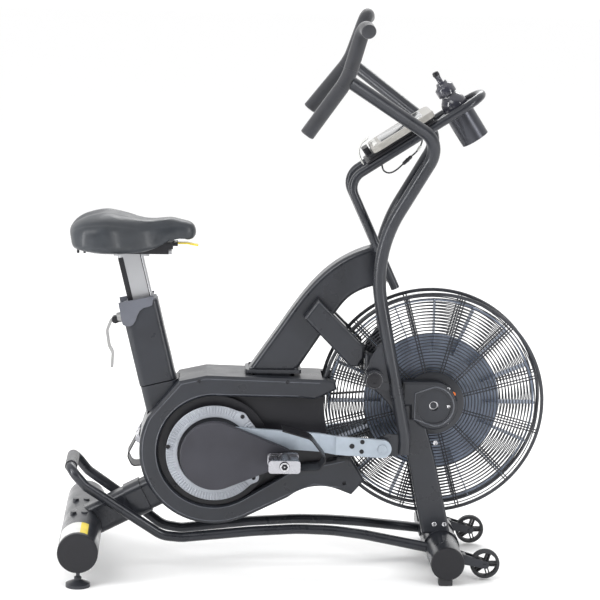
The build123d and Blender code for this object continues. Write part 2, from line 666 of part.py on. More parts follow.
# ---------------------------------------------------------------- pedals
PEDAL_DROP = 120.0        # the left pedal hangs nose down, turned by its toe cage
CAGE_RUN = [(38, -14), (86, -12), (104, 14), (64, 66), (-6, 86)]
for side, s in SIDES:
    axis = pedals[s]
    with BuildPart() as pedal:
        with BuildSketch(side_plane(s * 136)):
            with Locations(axis):
                Circle(14)
                with Locations((26, -4), (-26, -4)):
                    RectangleRounded(22, 26, 5)
        extrude(amount=86, dir=(0, s, 0))
        for y0 in (136, 210):
            with BuildSketch(side_plane(s * y0)):
                with Locations((axis[0], axis[1] - 2)):
                    RectangleRounded(78, 32, 8)
            extrude(amount=12, dir=(0, s, 0))
        add(drum(*axis, s * 130, s * 240, 7.06), mode=Mode.SUBTRACT)
        add(drum(*axis, s * 216, s * 240, 12), mode=Mode.SUBTRACT)
    with BuildPart() as toe_cage:
        with BuildLine(side_plane(s * 179)) as cage_path:
            FilletPolyline(*[(axis[0] + x, axis[1] + z) for x, z in CAGE_RUN], radius=[18, 14, 30])
        with BuildSketch(Plane(origin=cage_path.line @ 0, x_dir=(0, 1, 0), z_dir=cage_path.line % 0)):
            Rectangle(64, 3)
        sweep(path=cage_path.line, transition=Transition.ROUND)
        add(block(axis[0] - 12, axis[0] + 2, s * 146, s * 212, CRANK_Z + 30, CRANK_Z + 34), mode=Mode.SUBTRACT)
        with BuildSketch(side_plane(s * 158)):
            with BuildLine():
                Polyline((axis[0] + 53, axis[1] - 7), (axis[0] + 84, axis[1] - 7), (axis[0] + 97, axis[1] + 12),
                         (axis[0] + 62, axis[1] + 58), (axis[0] + 52, axis[1] + 54), (axis[0] + 78, axis[1] + 18),
                         close=True)
            make_face()
        extrude(amount=42, dir=(0, s, 0), mode=Mode.SUBTRACT)
        add(pedal.part, mode=Mode.SUBTRACT)
    spindle = Axis(origin=world(axis[0], 0, axis[1]), direction=(0, 1, 0))
    turn = PEDAL_DROP if s > 0 else 0.0
    save(pedal.part.rotate(spindle, turn), f"pedal_{side}")
    save(toe_cage.part.rotate(spindle, turn), f"toe_cage_{side}")

# ---------------------------------------------------------------- links from the cranks to the arms
link_holes = {}
link_holes[-1] = LINK_HOLE
arm_out = (LINK_HOLE[0] - PIVOT[0], LINK_HOLE[1] - PIVOT[1])
split = radians(ARM_SPLIT)
link_holes[1] = (PIVOT[0] + arm_out[0] * cos(split) + arm_out[1] * sin(split),
                 PIVOT[1] + arm_out[1] * cos(split) - arm_out[0] * sin(split))
LINK_HEIGHT = 46.0
LINK_STEP = 20.0
for side, s in SIDES:
    pin, hole = pins[s], link_holes[s]
    middle = (0.5 * (pin[0] + hole[0]), 0.5 * (pin[1] + hole[1]))
    run = (hole[0] - pin[0], hole[1] - pin[1])
    with BuildPart() as drive_link:
        with BuildSketch(side_plane(s * 90)):
            with Locations(Location(middle, degrees(atan2(run[1], run[0])))):
                SlotCenterToCenter(sqrt(run[0] ** 2 + run[1] ** 2), LINK_HEIGHT)
        extrude(amount=50, dir=(0, s, 0))
        with BuildSketch(Plane.XY):
            with BuildLine():
                x0, x1, x2, x3 = CRANK_X - 60, CRANK_X + 262, CRANK_X + 302, CRANK_X + 460
                inner, outer = s * LINK_IN, s * LINK_OUT
                Polyline((x0, inner), (x1, inner), (x2, inner + s * LINK_STEP), (x3, inner + s * LINK_STEP),
                         (x3, outer + s * LINK_STEP), (x2, outer + s * LINK_STEP), (x1, outer), (x0, outer),
                         close=True)
            make_face()
        extrude(amount=600, mode=Mode.INTERSECT)
        add(drum(*pin, s * 80, s * 120, 8.06), mode=Mode.SUBTRACT)
        add(drum(*hole, s * (LINK_OUT + LINK_STEP), s * (LINK_OUT + LINK_STEP + 4), 11))
    save(drive_link.part, f"drive_link_{side}")

# ---------------------------------------------------------------- handle arms and grips
ARM_RUN = [(473, 99, 308), (475, 99, 350), (383, 99, 811), (538, 165, 1095), (300, 292, 1252)]
ARM_RADII = [150, 340, 70]
GRIP_RUN = [(206, 292, 1128), (297, 292, 1257), (333, 292, 1384), (339, 334, 1371)]
GRIP_RADII = [120, 24]


def side_points(points, s):
    return [world(x, s * y, z) for x, y, z in points]


def tube(points, radii, s, outer, inner):
    """Private tube along straight runs joined by arcs, mirrored to one side."""
    with BuildPart(mode=Mode.PRIVATE) as made:
        with BuildLine() as path:
            if radii:
                FilletPolyline(*side_points(points, s), radius=radii)
            else:
                Line(*side_points(points, s))
        with BuildSketch(Plane(origin=path.line @ 0, z_dir=path.line % 0)):
            Circle(outer)
            if inner > 0:
                Circle(inner, mode=Mode.SUBTRACT)
        sweep(path=path.line)
    return made.part


def grip(lower, s):
    """Private foam sleeve over one end of the grip bar."""
    if lower:
        return tube([(204, 292, 1125.2), (283, 292, 1237.2)], [], s, GRIP_R, 0)
    return tube([(303.1, 292, 1278.5), (333, 292, 1384), (339.6, 338, 1369.8)], [24], s, GRIP_R, 0)


pivot_axis = Axis(origin=world(PIVOT[0], 0, PIVOT[1]), direction=(0, 1, 0))
for side, s in SIDES:
    forward = ARM_SPLIT if s > 0 else 0.0
    with BuildPart(mode=Mode.PRIVATE) as bar:
        add(tube(GRIP_RUN, GRIP_RADII, s, 13, 0))
    with BuildPart(mode=Mode.PRIVATE) as weldment:
        add(tube(ARM_RUN, ARM_RADII, s, ARM_R, ARM_R - 2.5))
        add(bar.part)
        add(plate([(372, 510), (384, 552), (408, 592), (428, 592), (452, 480), (424, 470), (400, 478)],
                  s * 95, s * 103))
        add(plate([(396, 342), (398, 312), (416, 300), (476, 306), (476, 356), (432, 360)], s * 96, s * 104))
        add(drum(*PIVOT, s * 77, s * 121.5, 24))
        add(drum(*LINK_HOLE, s * 104, s * (LINK_IN + LINK_STEP - 0.6), 12))
        add(drum(*PIVOT, s * 70, s * 130, 10.06), mode=Mode.SUBTRACT)
        add(grip(True, s), mode=Mode.SUBTRACT)
        add(grip(False, s), mode=Mode.SUBTRACT)
        add(bar.part)
    with BuildPart() as handle_arm:
        add(weldment.part.rotate(pivot_axis, forward))
    save(handle_arm.part, f"handle_arm_{side}")
    with BuildPart(mode=Mode.PRIVATE) as sleeves:
        add(grip(True, s))
        add(grip(False, s))
        add(bar.part, mode=Mode.SUBTRACT)
    with BuildPart() as grips:
        add(sleeves.part.rotate(pivot_axis, forward))
    save(grips.part, f"grips_{side}")

# ---------------------------------------------------------------- console frame, console, cup holder, bottle
CONSOLE_Y = 57.0
CONSOLE_R = 11.0
CABLE_R = 2.0
BEND = (321.0, 988.0)
LOOP_FRONT = (650.0, 1203.0)
slope = atan2(LOOP_FRONT[1] - BEND[1], LOOP_FRONT[0] - BEND[0])
loop_normal = (-sin(slope), 0, cos(slope))
loop_forward = (cos(slope), 0, sin(slope))


def loop_plane(along, lift, y=0.0):
    """Plane parallel to the console loop; along is measured from the bend, lift from the tube's axis."""
    x = BEND[0] + along * cos(slope) - lift * sin(slope)
    z = BEND[1] + along * sin(slope) + lift * cos(slope)
    return Plane(origin=world(x, y, z), x_dir=loop_forward, z_dir=loop_normal)


loop_length = sqrt((LOOP_FRONT[0] - BEND[0]) ** 2 + (LOOP_FRONT[1] - BEND[1]) ** 2)
with BuildPart() as console_frame:
    with BuildLine() as loop_path:
        loop_points = [(445, -57, 721), (BEND[0], -57, BEND[1]), (LOOP_FRONT[0], -57, LOOP_FRONT[1]),
                       (LOOP_FRONT[0], 57, LOOP_FRONT[1]), (BEND[0], 57, BEND[1]), (445, 57, 721)]
        FilletPolyline(*[world(*point) for point in loop_points], radius=[45, 56, 56, 45])
    with BuildSketch(Plane(origin=loop_path.line @ 0, z_dir=loop_path.line % 0)):
        Circle(CONSOLE_R)
        Circle(CONSOLE_R - 2, mode=Mode.SUBTRACT)
    sweep(path=loop_path.line)
    for side, s in SIDES:
        with BuildPart(mode=Mode.PRIVATE) as lug:
            add(block(398, 424, s * 30, s * 52, 762, 812))
            add(tube([(445, 57, 721), (321, 57, 988)], [], s, CONSOLE_R - 1, 0), mode=Mode.SUBTRACT)
        add(lug.part)
    with BuildSketch(floor_plane(403.2, -CONSOLE_Y, 1020)):
        Circle(CABLE_R + 1)
    extrude(amount=20, mode=Mode.SUBTRACT)
save(console_frame.part, "console_frame")

with BuildPart() as console_tray:
    with BuildSketch(loop_plane(160, 11)):
        RectangleRounded(196, 132, 8)
    extrude(amount=4)
    with BuildSketch(loop_plane(164, 15)):
        RectangleRounded(186, 118, 8)
    extrude(amount=10)
    with BuildSketch(loop_plane(78, 15)):
        RectangleRounded(16, 60, 4)
    extrude(amount=28)
    with BuildSketch(loop_plane(226, 10)):
        with Locations((0, -33)):
            Circle(CABLE_R + 4)
    extrude(amount=12, mode=Mode.SUBTRACT)
save(console_tray.part, "console_tray")

with BuildPart() as console:
    with BuildSketch(loop_plane(178, 25)):
        RectangleRounded(176, 158, 22)
    extrude(amount=15)
    fillet(console.faces().sort_by(Axis(origin=(0, 0, 0), direction=loop_normal))[-1].edges(), 5)
save(console.part, "console")

CUP_ALONG = loop_length - 70.0
with BuildPart() as cup_holder:
    with BuildSketch(loop_plane(CUP_ALONG, -88)):
        Circle(36)
    extrude(amount=92)
    with BuildSketch(loop_plane(CUP_ALONG, -85)):
        Circle(34)
    extrude(amount=100, mode=Mode.SUBTRACT)
    with BuildSketch(loop_plane(CUP_ALONG, -2)):
        Circle(50)
        Circle(35, mode=Mode.SUBTRACT)
    extrude(amount=4)
    add(console_frame.part, mode=Mode.SUBTRACT)
save(cup_holder.part.solids().sort_by(SortBy.VOLUME)[-1], "cup_holder")

BOTTLE_OUTLINE = [(0, -84.5), (30, -84.5), (33, -81.5), (33, 14), (30, 27), (20, 38), (20, 44), (24, 46),
                  (24, 66), (15, 72), (15, 78), (7, 80), (7, 100), (9, 102), (9, 109), (0, 109)]
bottle_plane = loop_plane(CUP_ALONG, 0)
with BuildPart() as bottle:
    with BuildSketch(Plane(origin=bottle_plane.origin, x_dir=(0, 1, 0), z_dir=loop_forward)):
        with BuildLine():
            Polyline(*BOTTLE_OUTLINE, close=True)
        make_face()
    revolve(axis=Axis(origin=bottle_plane.origin, direction=loop_normal))
save(bottle.part, "bottle")

CABLE_RUN = [(403, -57, 1031), (404, -57, 1020), (412, -57, 1011), (425, -56, 1009), (440, -54.5, 1017),
             (457, -52, 1033), (474, -48, 1049), (490, -43, 1062), (501, -38, 1078), (504, -35, 1095),
             (503, -33, 1110), (501, -33, 1124)]
turns = []
for before, here, after in zip(CABLE_RUN, CABLE_RUN[1:], CABLE_RUN[2:]):
    arriving = Vector(*here) - Vector(*before)
    leaving = Vector(*after) - Vector(*here)
    half_turn = radians(arriving.get_angle(leaving) / 2)
    turns.append(0.45 * min(arriving.length, leaving.length) / tan(half_turn))
print("console cable bend radii", [round(r, 1) for r in turns])
with BuildPart() as console_cable:
    with BuildLine() as cable_path:
        FilletPolyline(*[world(*point) for point in CABLE_RUN], radius=turns)
    with BuildSketch(Plane(origin=cable_path.line @ 0, z_dir=cable_path.line % 0)):
        Circle(CABLE_R)
    sweep(path=cable_path.line)
save(console_cable.part, "console_cable")
cable_length = sum(edge.length for edge in cable_path.edges())
print("console cable length", round(cable_length, 1), "volume over section times length",
      round(console_cable.part.volume / (cable_length * pi * CABLE_R ** 2), 4))

# ---------------------------------------------------------------- transport wheels
WHEEL = (680.0, 41.5)
WHEEL_R = 37.0
WHEEL_Y = 156.0
with BuildPart() as wheel_forks:
    for side, s in SIDES:
        with BuildPart(mode=Mode.PRIVATE) as fork:
            for y0, y1 in ((WHEEL_Y - 17, WHEEL_Y - 13), (WHEEL_Y + 13, WHEEL_Y + 17)):
                with BuildSketch(side_plane(s * y0)):
                    with Locations(WHEEL):
                        Circle(9)
                    with Locations((FRONT[0] + 34, FRONT[1] + 2)):
                        Circle(13)
                    make_hull()
                extrude(amount=y1 - y0, dir=(0, s, 0))
            add(block(FRONT[0] + 20, FRONT[0] + 50, s * (WHEEL_Y - 17), s * (WHEEL_Y + 17), 50, 68))
            add(drum(*WHEEL, s * (WHEEL_Y - 20), s * (WHEEL_Y + 20), 4))
            add(drum(*FRONT, s * 100, s * 210, FRONT_R), mode=Mode.SUBTRACT)
        add(fork.part)
save(wheel_forks.part, "wheel_forks")

for side, s in SIDES:
    with BuildPart() as wheel:
        with BuildSketch(axle_plane(*WHEEL, s * WHEEL_Y)):
            Circle(WHEEL_R)
            Circle(WHEEL_R - 8, mode=Mode.SUBTRACT)
            Circle(9)
            with PolarLocations(0, 5):
                with Locations((19, 3.6), (19, -3.6)):
                    Rectangle(28, 2.6)
        extrude(amount=10, both=True)
        fillet(wheel.edges().filter_by(GeomType.CIRCLE).filter_by(lambda e: e.radius > WHEEL_R - 1), 5)
        add(drum(*WHEEL, s * (WHEEL_Y - 20), s * (WHEEL_Y + 20), 4.06), mode=Mode.SUBTRACT)
    save(wheel.part, f"transport_wheel_{side}")

# ---------------------------------------------------------------- seat post, slider, saddle, levers
RAIL_Z = 793.0            # underside of the T-shaped rail on the post's head
RUN_FIT = 0.06            # running clearance on each side of a sliding or turning fit
with BuildPart() as seat_post:
    with BuildSketch(post_plane(540)):
        RectangleRounded(62, 36, 7.7)
        RectangleRounded(55, 29, 5, mode=Mode.SUBTRACT)
    extrude(amount=275)
    add(block(-330, -90, -40, 40, RAIL_Z - 4, 900), mode=Mode.SUBTRACT)
    add(block(-256, -168, -18, 18, RAIL_Z - 5, RAIL_Z))
    add(block(-256, -112, -9, 9, RAIL_Z - 1, RAIL_Z + 6))
    add(block(-256, -112, -17, 17, RAIL_Z + 5, RAIL_Z + 10))
save(seat_post.part, "seat_post")

LEVER_PIVOT = (-102.0, 819.0)
with BuildPart() as seat_slider:
    add(block(-240, -120, -24, 24, RAIL_Z + 1, RAIL_Z + 16))
    add(block(-161, -109, -24, 24, RAIL_Z + 14, RAIL_Z + 29))
    add(block(-112, -97, -17, 17, LEVER_PIVOT[1] - 5, LEVER_PIVOT[1] + 4.5))
    add(block(-109, -90, -12.5, 12.5, 800, 840), mode=Mode.SUBTRACT)
    add(block(-270, -100, -9 - RUN_FIT, 9 + RUN_FIT, RAIL_Z, RAIL_Z + 8), mode=Mode.SUBTRACT)
    add(block(-270, -100, -17 - RUN_FIT, 17 + RUN_FIT, RAIL_Z + 5 - RUN_FIT, RAIL_Z + 10 + RUN_FIT),
        mode=Mode.SUBTRACT)
    add(drum(*LEVER_PIVOT, -17, 17, 2.5))
save(seat_slider.part, "seat_slider")

with BuildPart() as saddle:
    with BuildSketch(Plane.XY.offset(780)):
        with BuildLine():
            plan = [(-51, 0), (-56, -22), (-82, -37), (-150, -48), (-240, -108), (-305, -122), (-350, -92),
                    (-363, -40), (-365, 0)]
            right = Spline(*[(CRANK_X + x, y) for x, y in plan])
            mirror(right, about=Plane.XZ)
        make_face()
    extrude(amount=140)
    with BuildSketch(side_plane(130)):
        with BuildLine():
            Spline((-51, 844), (-56, 866), (-71, 878), (-107, 885), (-172, 882), (-235, 894), (-275, 900),
                   (-320, 891), (-350, 868), (-365, 834))
            Line((-365, 834), (-345, 814))
            Spline((-345, 814), (-277, 805), (-236, 803), (-195, 804), (-154, 812), (-110, 825), (-60, 832))
            Line((-60, 832), (-51, 844))
        make_face()
    extrude(amount=260, mode=Mode.INTERSECT)
    add(block(-292, -78, -30, 30, 780, RAIL_Z + 16), mode=Mode.SUBTRACT)
    add(block(-163, -94, -24.3, 24.3, 780, RAIL_Z + 31), mode=Mode.SUBTRACT)
    add(block(-110, -56, -11, 11, 780, 836), mode=Mode.SUBTRACT)
save(saddle.part, "saddle")

with BuildPart() as seat_lever:
    add(drum(*LEVER_PIVOT, -12, 12, 4.5))
    add(block(-102, -73, -9, 9, 818, 822))
    add(plate([(-74, 818), (-47, 813), (-45.5, 816.5), (-73, 822)], -9, 9))
    add(drum(*LEVER_PIVOT, -20, 20, 2.5 + RUN_FIT), mode=Mode.SUBTRACT)
save(seat_lever.part, "seat_lever")

LEVER_RUN = [(-242, 630), (-262, 622), (-272, 596), (-266, 556), (-257, 541), (-259, 502)]
with BuildPart() as clamp_lever:
    with BuildSketch(clamp_plane.offset(33)):
        Circle(STUD_R)
    extrude(amount=25)
    with BuildSketch(clamp_plane.offset(53)):
        Circle(13)
    extrude(amount=15)
    with BuildLine(side_plane(0)) as lever_path:
        FilletPolyline(*LEVER_RUN, radius=[10, 20, 40, 20])
    with BuildSketch(Plane(origin=lever_path.line @ 0, x_dir=(0, 1, 0), z_dir=lever_path.line % 0)):
        Rectangle(18, 7)
    sweep(path=lever_path.line)
save(clamp_lever.part, "clamp_lever")

# ---------------------------------------------------------------- fasteners
with BuildPart() as frame_bolts:
    with BuildSketch(floor_plane(146, 0, 507)):
        with GridLocations(112, 70, 2, 2):
            RegularPolygon(5, 6)
    extrude(amount=4)
    for x in (REAR[0] - 20, REAR[0] + 8):
        for side, s in SIDES:
            with BuildSketch(floor_plane(x, s * 62, REAR[1] + 40)):
                Circle(8)
            extrude(amount=13)
    add(drum(*REAR, -REAR_HALF, REAR_HALF, REAR_R), mode=Mode.SUBTRACT)
save(frame_bolts.part, "frame_bolts")
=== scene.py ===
import json
import math

import bpy
from mathutils import Matrix, Vector


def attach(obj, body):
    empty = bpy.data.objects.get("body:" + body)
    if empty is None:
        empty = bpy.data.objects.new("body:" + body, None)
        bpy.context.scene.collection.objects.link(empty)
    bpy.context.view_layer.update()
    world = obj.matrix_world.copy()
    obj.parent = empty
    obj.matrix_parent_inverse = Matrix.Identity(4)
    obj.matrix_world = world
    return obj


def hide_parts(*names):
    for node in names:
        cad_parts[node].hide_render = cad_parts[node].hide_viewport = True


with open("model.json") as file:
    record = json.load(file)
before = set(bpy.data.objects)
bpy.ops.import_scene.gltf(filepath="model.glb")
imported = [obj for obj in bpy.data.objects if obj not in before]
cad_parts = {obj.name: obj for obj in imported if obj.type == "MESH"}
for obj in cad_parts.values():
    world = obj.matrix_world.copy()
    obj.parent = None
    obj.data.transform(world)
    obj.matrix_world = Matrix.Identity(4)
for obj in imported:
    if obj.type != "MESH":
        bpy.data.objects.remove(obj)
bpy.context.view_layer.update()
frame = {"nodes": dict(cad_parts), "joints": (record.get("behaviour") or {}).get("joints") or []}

MM = 0.001
SIDES = (("right", -1), ("left", 1))
joints = {joint["name"]: joint for joint in frame["joints"]}
crank = Vector(joints["crank_spin"]["pos_m"])
fan = Vector(joints["fan_spin"]["pos_m"])
pivot = Vector(joints["arm_swing_right"]["pos_m"])
loop_up = Vector(joints["bottle_lift"]["axis"])
loop_forward = Vector((loop_up.z, 0, -loop_up.x))


def spot(x, y, z):
    """A point given in mm, x forwards from the crank axis, z up from the floor."""
    return Vector((crank.x + x * MM, y * MM, z * MM))


# ---------------------------------------------------------------- camera
camera_data = bpy.data.cameras.new("camera")
camera_data.sensor_width = 36
camera_data.lens = 132
camera_data.clip_end = 100
camera = bpy.data.objects.new("camera", camera_data)
bpy.context.scene.collection.objects.link(camera)
right = Vector((0.99857, -0.04915, 0.02096))
ahead = Vector((0.05208, 0.98307, -0.17567))
up = right.cross(ahead)
camera.matrix_world = Matrix.Translation((-0.30305, -5.43607, 1.64989)) @ Matrix(
    (right, up, -ahead)).transposed().to_4x4()
bpy.context.scene.camera = camera


# ---------------------------------------------------------------- materials
ROUGHNESS_SPREAD = 0.10


def node_material(name, colour, roughness, metallic=0.0, mottle=(14.0, 0.14),
                  grain=(900.0, 0.12, 0.00012), wear=0.35, coat=0.0, sheen=0.0, bevel=0.0012,
                  stretch=(1, 1, 1)):
    """Procedural finish: mottled colour, uneven roughness, fine grain, edges softened and rubbed lighter.

    mottle is (noise scale, colour change); grain is (noise scale, bump strength, bump height in m).
    """
    material = bpy.data.materials.new(name)
    material.use_nodes = True
    nodes, links = material.node_tree.nodes, material.node_tree.links
    shader = nodes["Principled BSDF"]
    shader.inputs["Metallic"].default_value = metallic
    shader.inputs["Coat Weight"].default_value = coat
    shader.inputs["Coat Roughness"].default_value = 0.18
    shader.inputs["Sheen Weight"].default_value = sheen
    shader.inputs["Specular IOR Level"].default_value = 0.35
    place = nodes.new("ShaderNodeTexCoord")
    mapping = nodes.new("ShaderNodeMapping")
    mapping.inputs["Scale"].default_value = stretch
    links.new(place.outputs["Object"], mapping.inputs["Vector"])

    def noise(scale, detail):
        made = nodes.new("ShaderNodeTexNoise")
        made.inputs["Scale"].default_value = scale
        made.inputs["Detail"].default_value = detail
        links.new(mapping.outputs["Vector"], made.inputs["Vector"])
        return made.outputs["Fac"]

    def ramp(source, low, high, start, end):
        made = nodes.new("ShaderNodeMapRange")
        made.inputs["From Min"].default_value = low
        made.inputs["From Max"].default_value = high
        made.inputs["To Min"].default_value = start
        made.inputs["To Max"].default_value = end
        links.new(source, made.inputs["Value"])
        return made.outputs["Result"]

    def mix(factor, first, second):
        made = nodes.new("ShaderNodeMix")
        made.data_type = "RGBA"
        links.new(factor, made.inputs["Factor"])
        for index, value in ((6, first), (7, second)):
            if isinstance(value, bpy.types.NodeSocket):
                links.new(value, made.inputs[index])
            else:
                made.inputs[index].default_value = (*value, 1)
        return made.outputs[2]

    broad = noise(mottle[0], 4)
    fine = noise(grain[0], 2)
    dark = [max(0.0, c * (1 - mottle[1])) for c in colour]
    light = [min(1.0, c * (1 + mottle[1])) for c in colour]
    body = mix(ramp(broad, 0.35, 0.65, 0, 1), dark, light)
    edge = nodes.new("ShaderNodeBevel")
    edge.samples = 4
    edge.inputs["Radius"].default_value = bevel
    geometry = nodes.new("ShaderNodeNewGeometry")
    facing = nodes.new("ShaderNodeVectorMath")
    facing.operation = "DOT_PRODUCT"
    links.new(edge.outputs["Normal"], facing.inputs[0])
    links.new(geometry.outputs["Normal"], facing.inputs[1])
    rubbed = nodes.new("ShaderNodeMath")
    rubbed.operation = "MULTIPLY"
    links.new(ramp(facing.outputs["Value"], 0.98, 0.80, 0, wear), rubbed.inputs[0])
    links.new(ramp(noise(60, 3), 0.3, 0.7, 0.25, 1), rubbed.inputs[1])
    worn = [min(1.0, c * 1.5 + 0.035) for c in colour]
    links.new(mix(rubbed.outputs["Value"], body, worn), shader.inputs["Base Color"])
    smoothest, roughest = max(0.02, roughness - ROUGHNESS_SPREAD), min(1, roughness + ROUGHNESS_SPREAD)
    links.new(ramp(broad, 0.3, 0.7, smoothest, roughest), shader.inputs["Roughness"])
    bump = nodes.new("ShaderNodeBump")
    bump.inputs["Strength"].default_value = grain[1]
    bump.inputs["Distance"].default_value = grain[2]
    links.new(fine, bump.inputs["Height"])
    links.new(edge.outputs["Normal"], bump.inputs["Normal"])
    links.new(bump.outputs["Normal"], shader.inputs["Normal"])
    return material


paint = node_material("anthracite_paint", (0.024, 0.026, 0.032), 0.32, 0.25, coat=0.25,
                      grain=(1400, 0.10, 0.0001))
shell = node_material("housing_shell", (0.021, 0.023, 0.029), 0.34, grain=(2200, 0.22, 0.00012),
                      coat=0.1)
cover = node_material("cover_plastic", (0.038, 0.038, 0.047), 0.55, grain=(2400, 0.3, 0.00015))
black = node_material("black_plastic", (0.012, 0.012, 0.015), 0.42, grain=(2000, 0.2, 0.00012))
collar = node_material("collar_plastic", (0.10, 0.105, 0.125), 0.42, grain=(2000, 0.2, 0.0001))
silver = node_material("silver_plastic", (0.36, 0.38, 0.42), 0.38, 0.3, grain=(1800, 0.12, 0.0001),
                       wear=0.2)
link_paint = node_material("link_paint", (0.36, 0.41, 0.47), 0.36, 0.25, coat=0.3, wear=0.2)
steel = node_material("bright_steel", (0.52, 0.52, 0.54), 0.26, 1.0, wear=0.2, stretch=(1, 8, 1))
web = node_material("web_paint", (0.05, 0.052, 0.060), 0.45, 0.2)
casting = node_material("polished_casting", (0.42, 0.42, 0.45), 0.26, 1.0, mottle=(30, 0.1),
                        grain=(700, 0.2, 0.00015), wear=0.25)
brushed = node_material("brushed_aluminium", (0.40, 0.405, 0.42), 0.36, 0.8, mottle=(6, 0.05),
                        grain=(1500, 0.25, 0.0001), wear=0.3, stretch=(1, 1, 0.06))
grey_metal = node_material("lever_metal", (0.33, 0.33, 0.33), 0.38, 0.6, wear=0.3)
wire_paint = node_material("wire_paint", (0.030, 0.032, 0.038), 0.38, 0.2, coat=0.2, bevel=0.0003)
fan_paint = node_material("fan_paint", (0.24, 0.28, 0.36), 0.40, 0.3, mottle=(9, 0.12))
belt_rubber = node_material("belt_rubber", (0.018, 0.018, 0.018), 0.75, grain=(500, 0.4, 0.0003))
soft_rubber = node_material("soft_rubber", (0.030, 0.031, 0.034), 0.66, grain=(900, 0.4, 0.0002))
foam = node_material("grip_foam", (0.022, 0.023, 0.028), 0.60, mottle=(40, 0.2),
                     grain=(650, 0.75, 0.0005), sheen=0.35, bevel=0.003)
vinyl = node_material("saddle_vinyl", (0.030, 0.034, 0.040), 0.46, mottle=(22, 0.12),
                      grain=(420, 0.32, 0.0003), wear=0.1, coat=0.12, bevel=0.0015)
yellow = node_material("lever_yellow", (0.72, 0.55, 0.02), 0.32, coat=0.3, wear=0.25)
cream = node_material("console_case", (0.30, 0.29, 0.27), 0.42, grain=(1600, 0.25, 0.00012), wear=0.25)
glassy = node_material("display", (0.012, 0.016, 0.018), 0.10, coat=0.8, wear=0.0, mottle=(5, 0.2))
smoky = node_material("bottle_plastic", (0.035, 0.036, 0.048), 0.16, coat=0.6, mottle=(12, 0.25),
                      grain=(300, 0.15, 0.0003), wear=0.3)
cup_metal = node_material("cup_metal", (0.060, 0.062, 0.072), 0.30, 0.7, wear=0.3, stretch=(1, 1, 0.2))
orange = node_material("orange_plug", (0.72, 0.16, 0.02), 0.42)
pale = node_material("pale_plastic", (0.62, 0.62, 0.60), 0.40)
sheath = node_material("cable_sheath", (0.030, 0.030, 0.034), 0.48, grain=(600, 0.2, 0.0001),
                       bevel=0.0004)
# lighter than the housing shell: a painted highlight for the housing's rounded edges and the hub cover's
# D-shaped rim
highlight_paint = node_material("painted_highlight_trim", (0.075, 0.08, 0.095), 0.20, coat=0.5)

FINISH = {
    paint: ["rear_stabiliser", "front_stabiliser", "rear_spar", "seat_tube", "main_spine", "main_beam",
            "mounting_plates", "fan_braces", "front_legs", "console_frame", "wheel_forks",
            "handle_arm_right", "handle_arm_left", "side_rails"],
    shell: ["housing_right", "housing_left", "seat_tube_covers", "hub_covers"],
    cover: ["crank_covers"],
    black: ["stabiliser_caps", "dust_covers", "toe_cage_right", "toe_cage_left", "console_tray",
            "seat_slider"],
    cup_metal: ["cup_holder"],
    collar: ["sleeve_insert"],
    silver: ["ribbed_rings"],
    link_paint: ["drive_link_right", "drive_link_left"],
    steel: ["arm_pivot_shafts", "crankshaft", "pedal_spindles", "ball_bearings"],
    web: ["crank_webs", "crank_arms", "fan_shaft"],
    casting: ["pedal_right", "pedal_left", "drive_pulley"],
    brushed: ["seat_post"],
    grey_metal: ["clamp_lever"],
    wire_paint: ["fan_guard_right", "fan_guard_left", "frame_bolts", "levelling_foot_right",
                 "levelling_foot_left"],
    fan_paint: ["fan_wheel"],
    belt_rubber: ["drive_belt"],
    soft_rubber: ["front_feet", "transport_wheel_right", "transport_wheel_left"],
    foam: ["grips_right", "grips_left", "rear_handle_sleeve"],
    vinyl: ["saddle"],
    yellow: ["seat_lever"],
    cream: ["console"],
    smoky: ["bottle"],
    sheath: ["console_cable"],
}
for finish, names in FINISH.items():
    for name in names:
        data = frame["nodes"][name].data
        data.materials.clear()
        data.materials.append(finish)


# ---------------------------------------------------------------- builders
def piece(name, verts, faces, material, body, smooth=True):
    """A mesh piece from points in metres, riding on a body."""
    data = bpy.data.meshes.new(name)
    data.from_pydata([tuple(v) for v in verts], [], faces)
    data.validate()
    data.update()
    data.materials.append(material)
    for polygon in data.polygons:
        polygon.use_smooth = smooth
    made = bpy.data.objects.new(name, data)
    bpy.context.scene.collection.objects.link(made)
    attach(made, body)
    return made


def frame_of(axis):
    """Two directions square to an axis and to each other."""
    axis = axis.normalized()
    helper = Vector((0, 0, 1)) if abs(axis.z) < 0.9 else Vector((1, 0, 0))
    first = axis.cross(helper).normalized()
    return first, axis.cross(first)


def lathe(name, profiles, material, body, segments=32, knurl=0.0):
    """Turned pieces: each profile is (origin, axis, [(radius mm, height mm), ...])."""
    verts, faces = [], []
    for origin, axis, outline in profiles:
        first, second = frame_of(axis)
        axis = axis.normalized()
        base = len(verts)
        for radius, height in outline:
            for step in range(segments):
                angle = 2 * math.pi * step / segments
                r = radius * (1 + (knurl if step % 2 and radius > 3 else 0))
                verts.append(origin + MM * (r * (math.cos(angle) * first + math.sin(angle) * second)
                                            + height * axis))
        rows = len(outline)
        for row in range(rows - 1):
            for step in range(segments):
                a = base + row * segments + step
                b = base + row * segments + (step + 1) % segments
                faces.append((a, b, b + segments, a + segments))
        faces.append(tuple(base + step for step in reversed(range(segments))))
        faces.append(tuple(base + (rows - 1) * segments + step for step in range(segments)))
    made = piece(name, verts, faces, material, body)
    crisp(made, 40)
    return made


def crisp(made, angle):
    """Smooth shading with sharp edges above an angle in degrees."""
    data = made.data
    edge_faces = {}
    for polygon in data.polygons:
        for key in polygon.edge_keys:
            edge_faces.setdefault(key, []).append(polygon.normal)
    sharp = data.attributes.new("sharp_edge", "BOOLEAN", "EDGE")
    limit = math.cos(math.radians(angle))
    for edge in data.edges:
        normals = edge_faces.get(tuple(sorted(edge.vertices)), [])
        sharp.data[edge.index].value = len(normals) == 2 and normals[0].dot(normals[1]) < limit


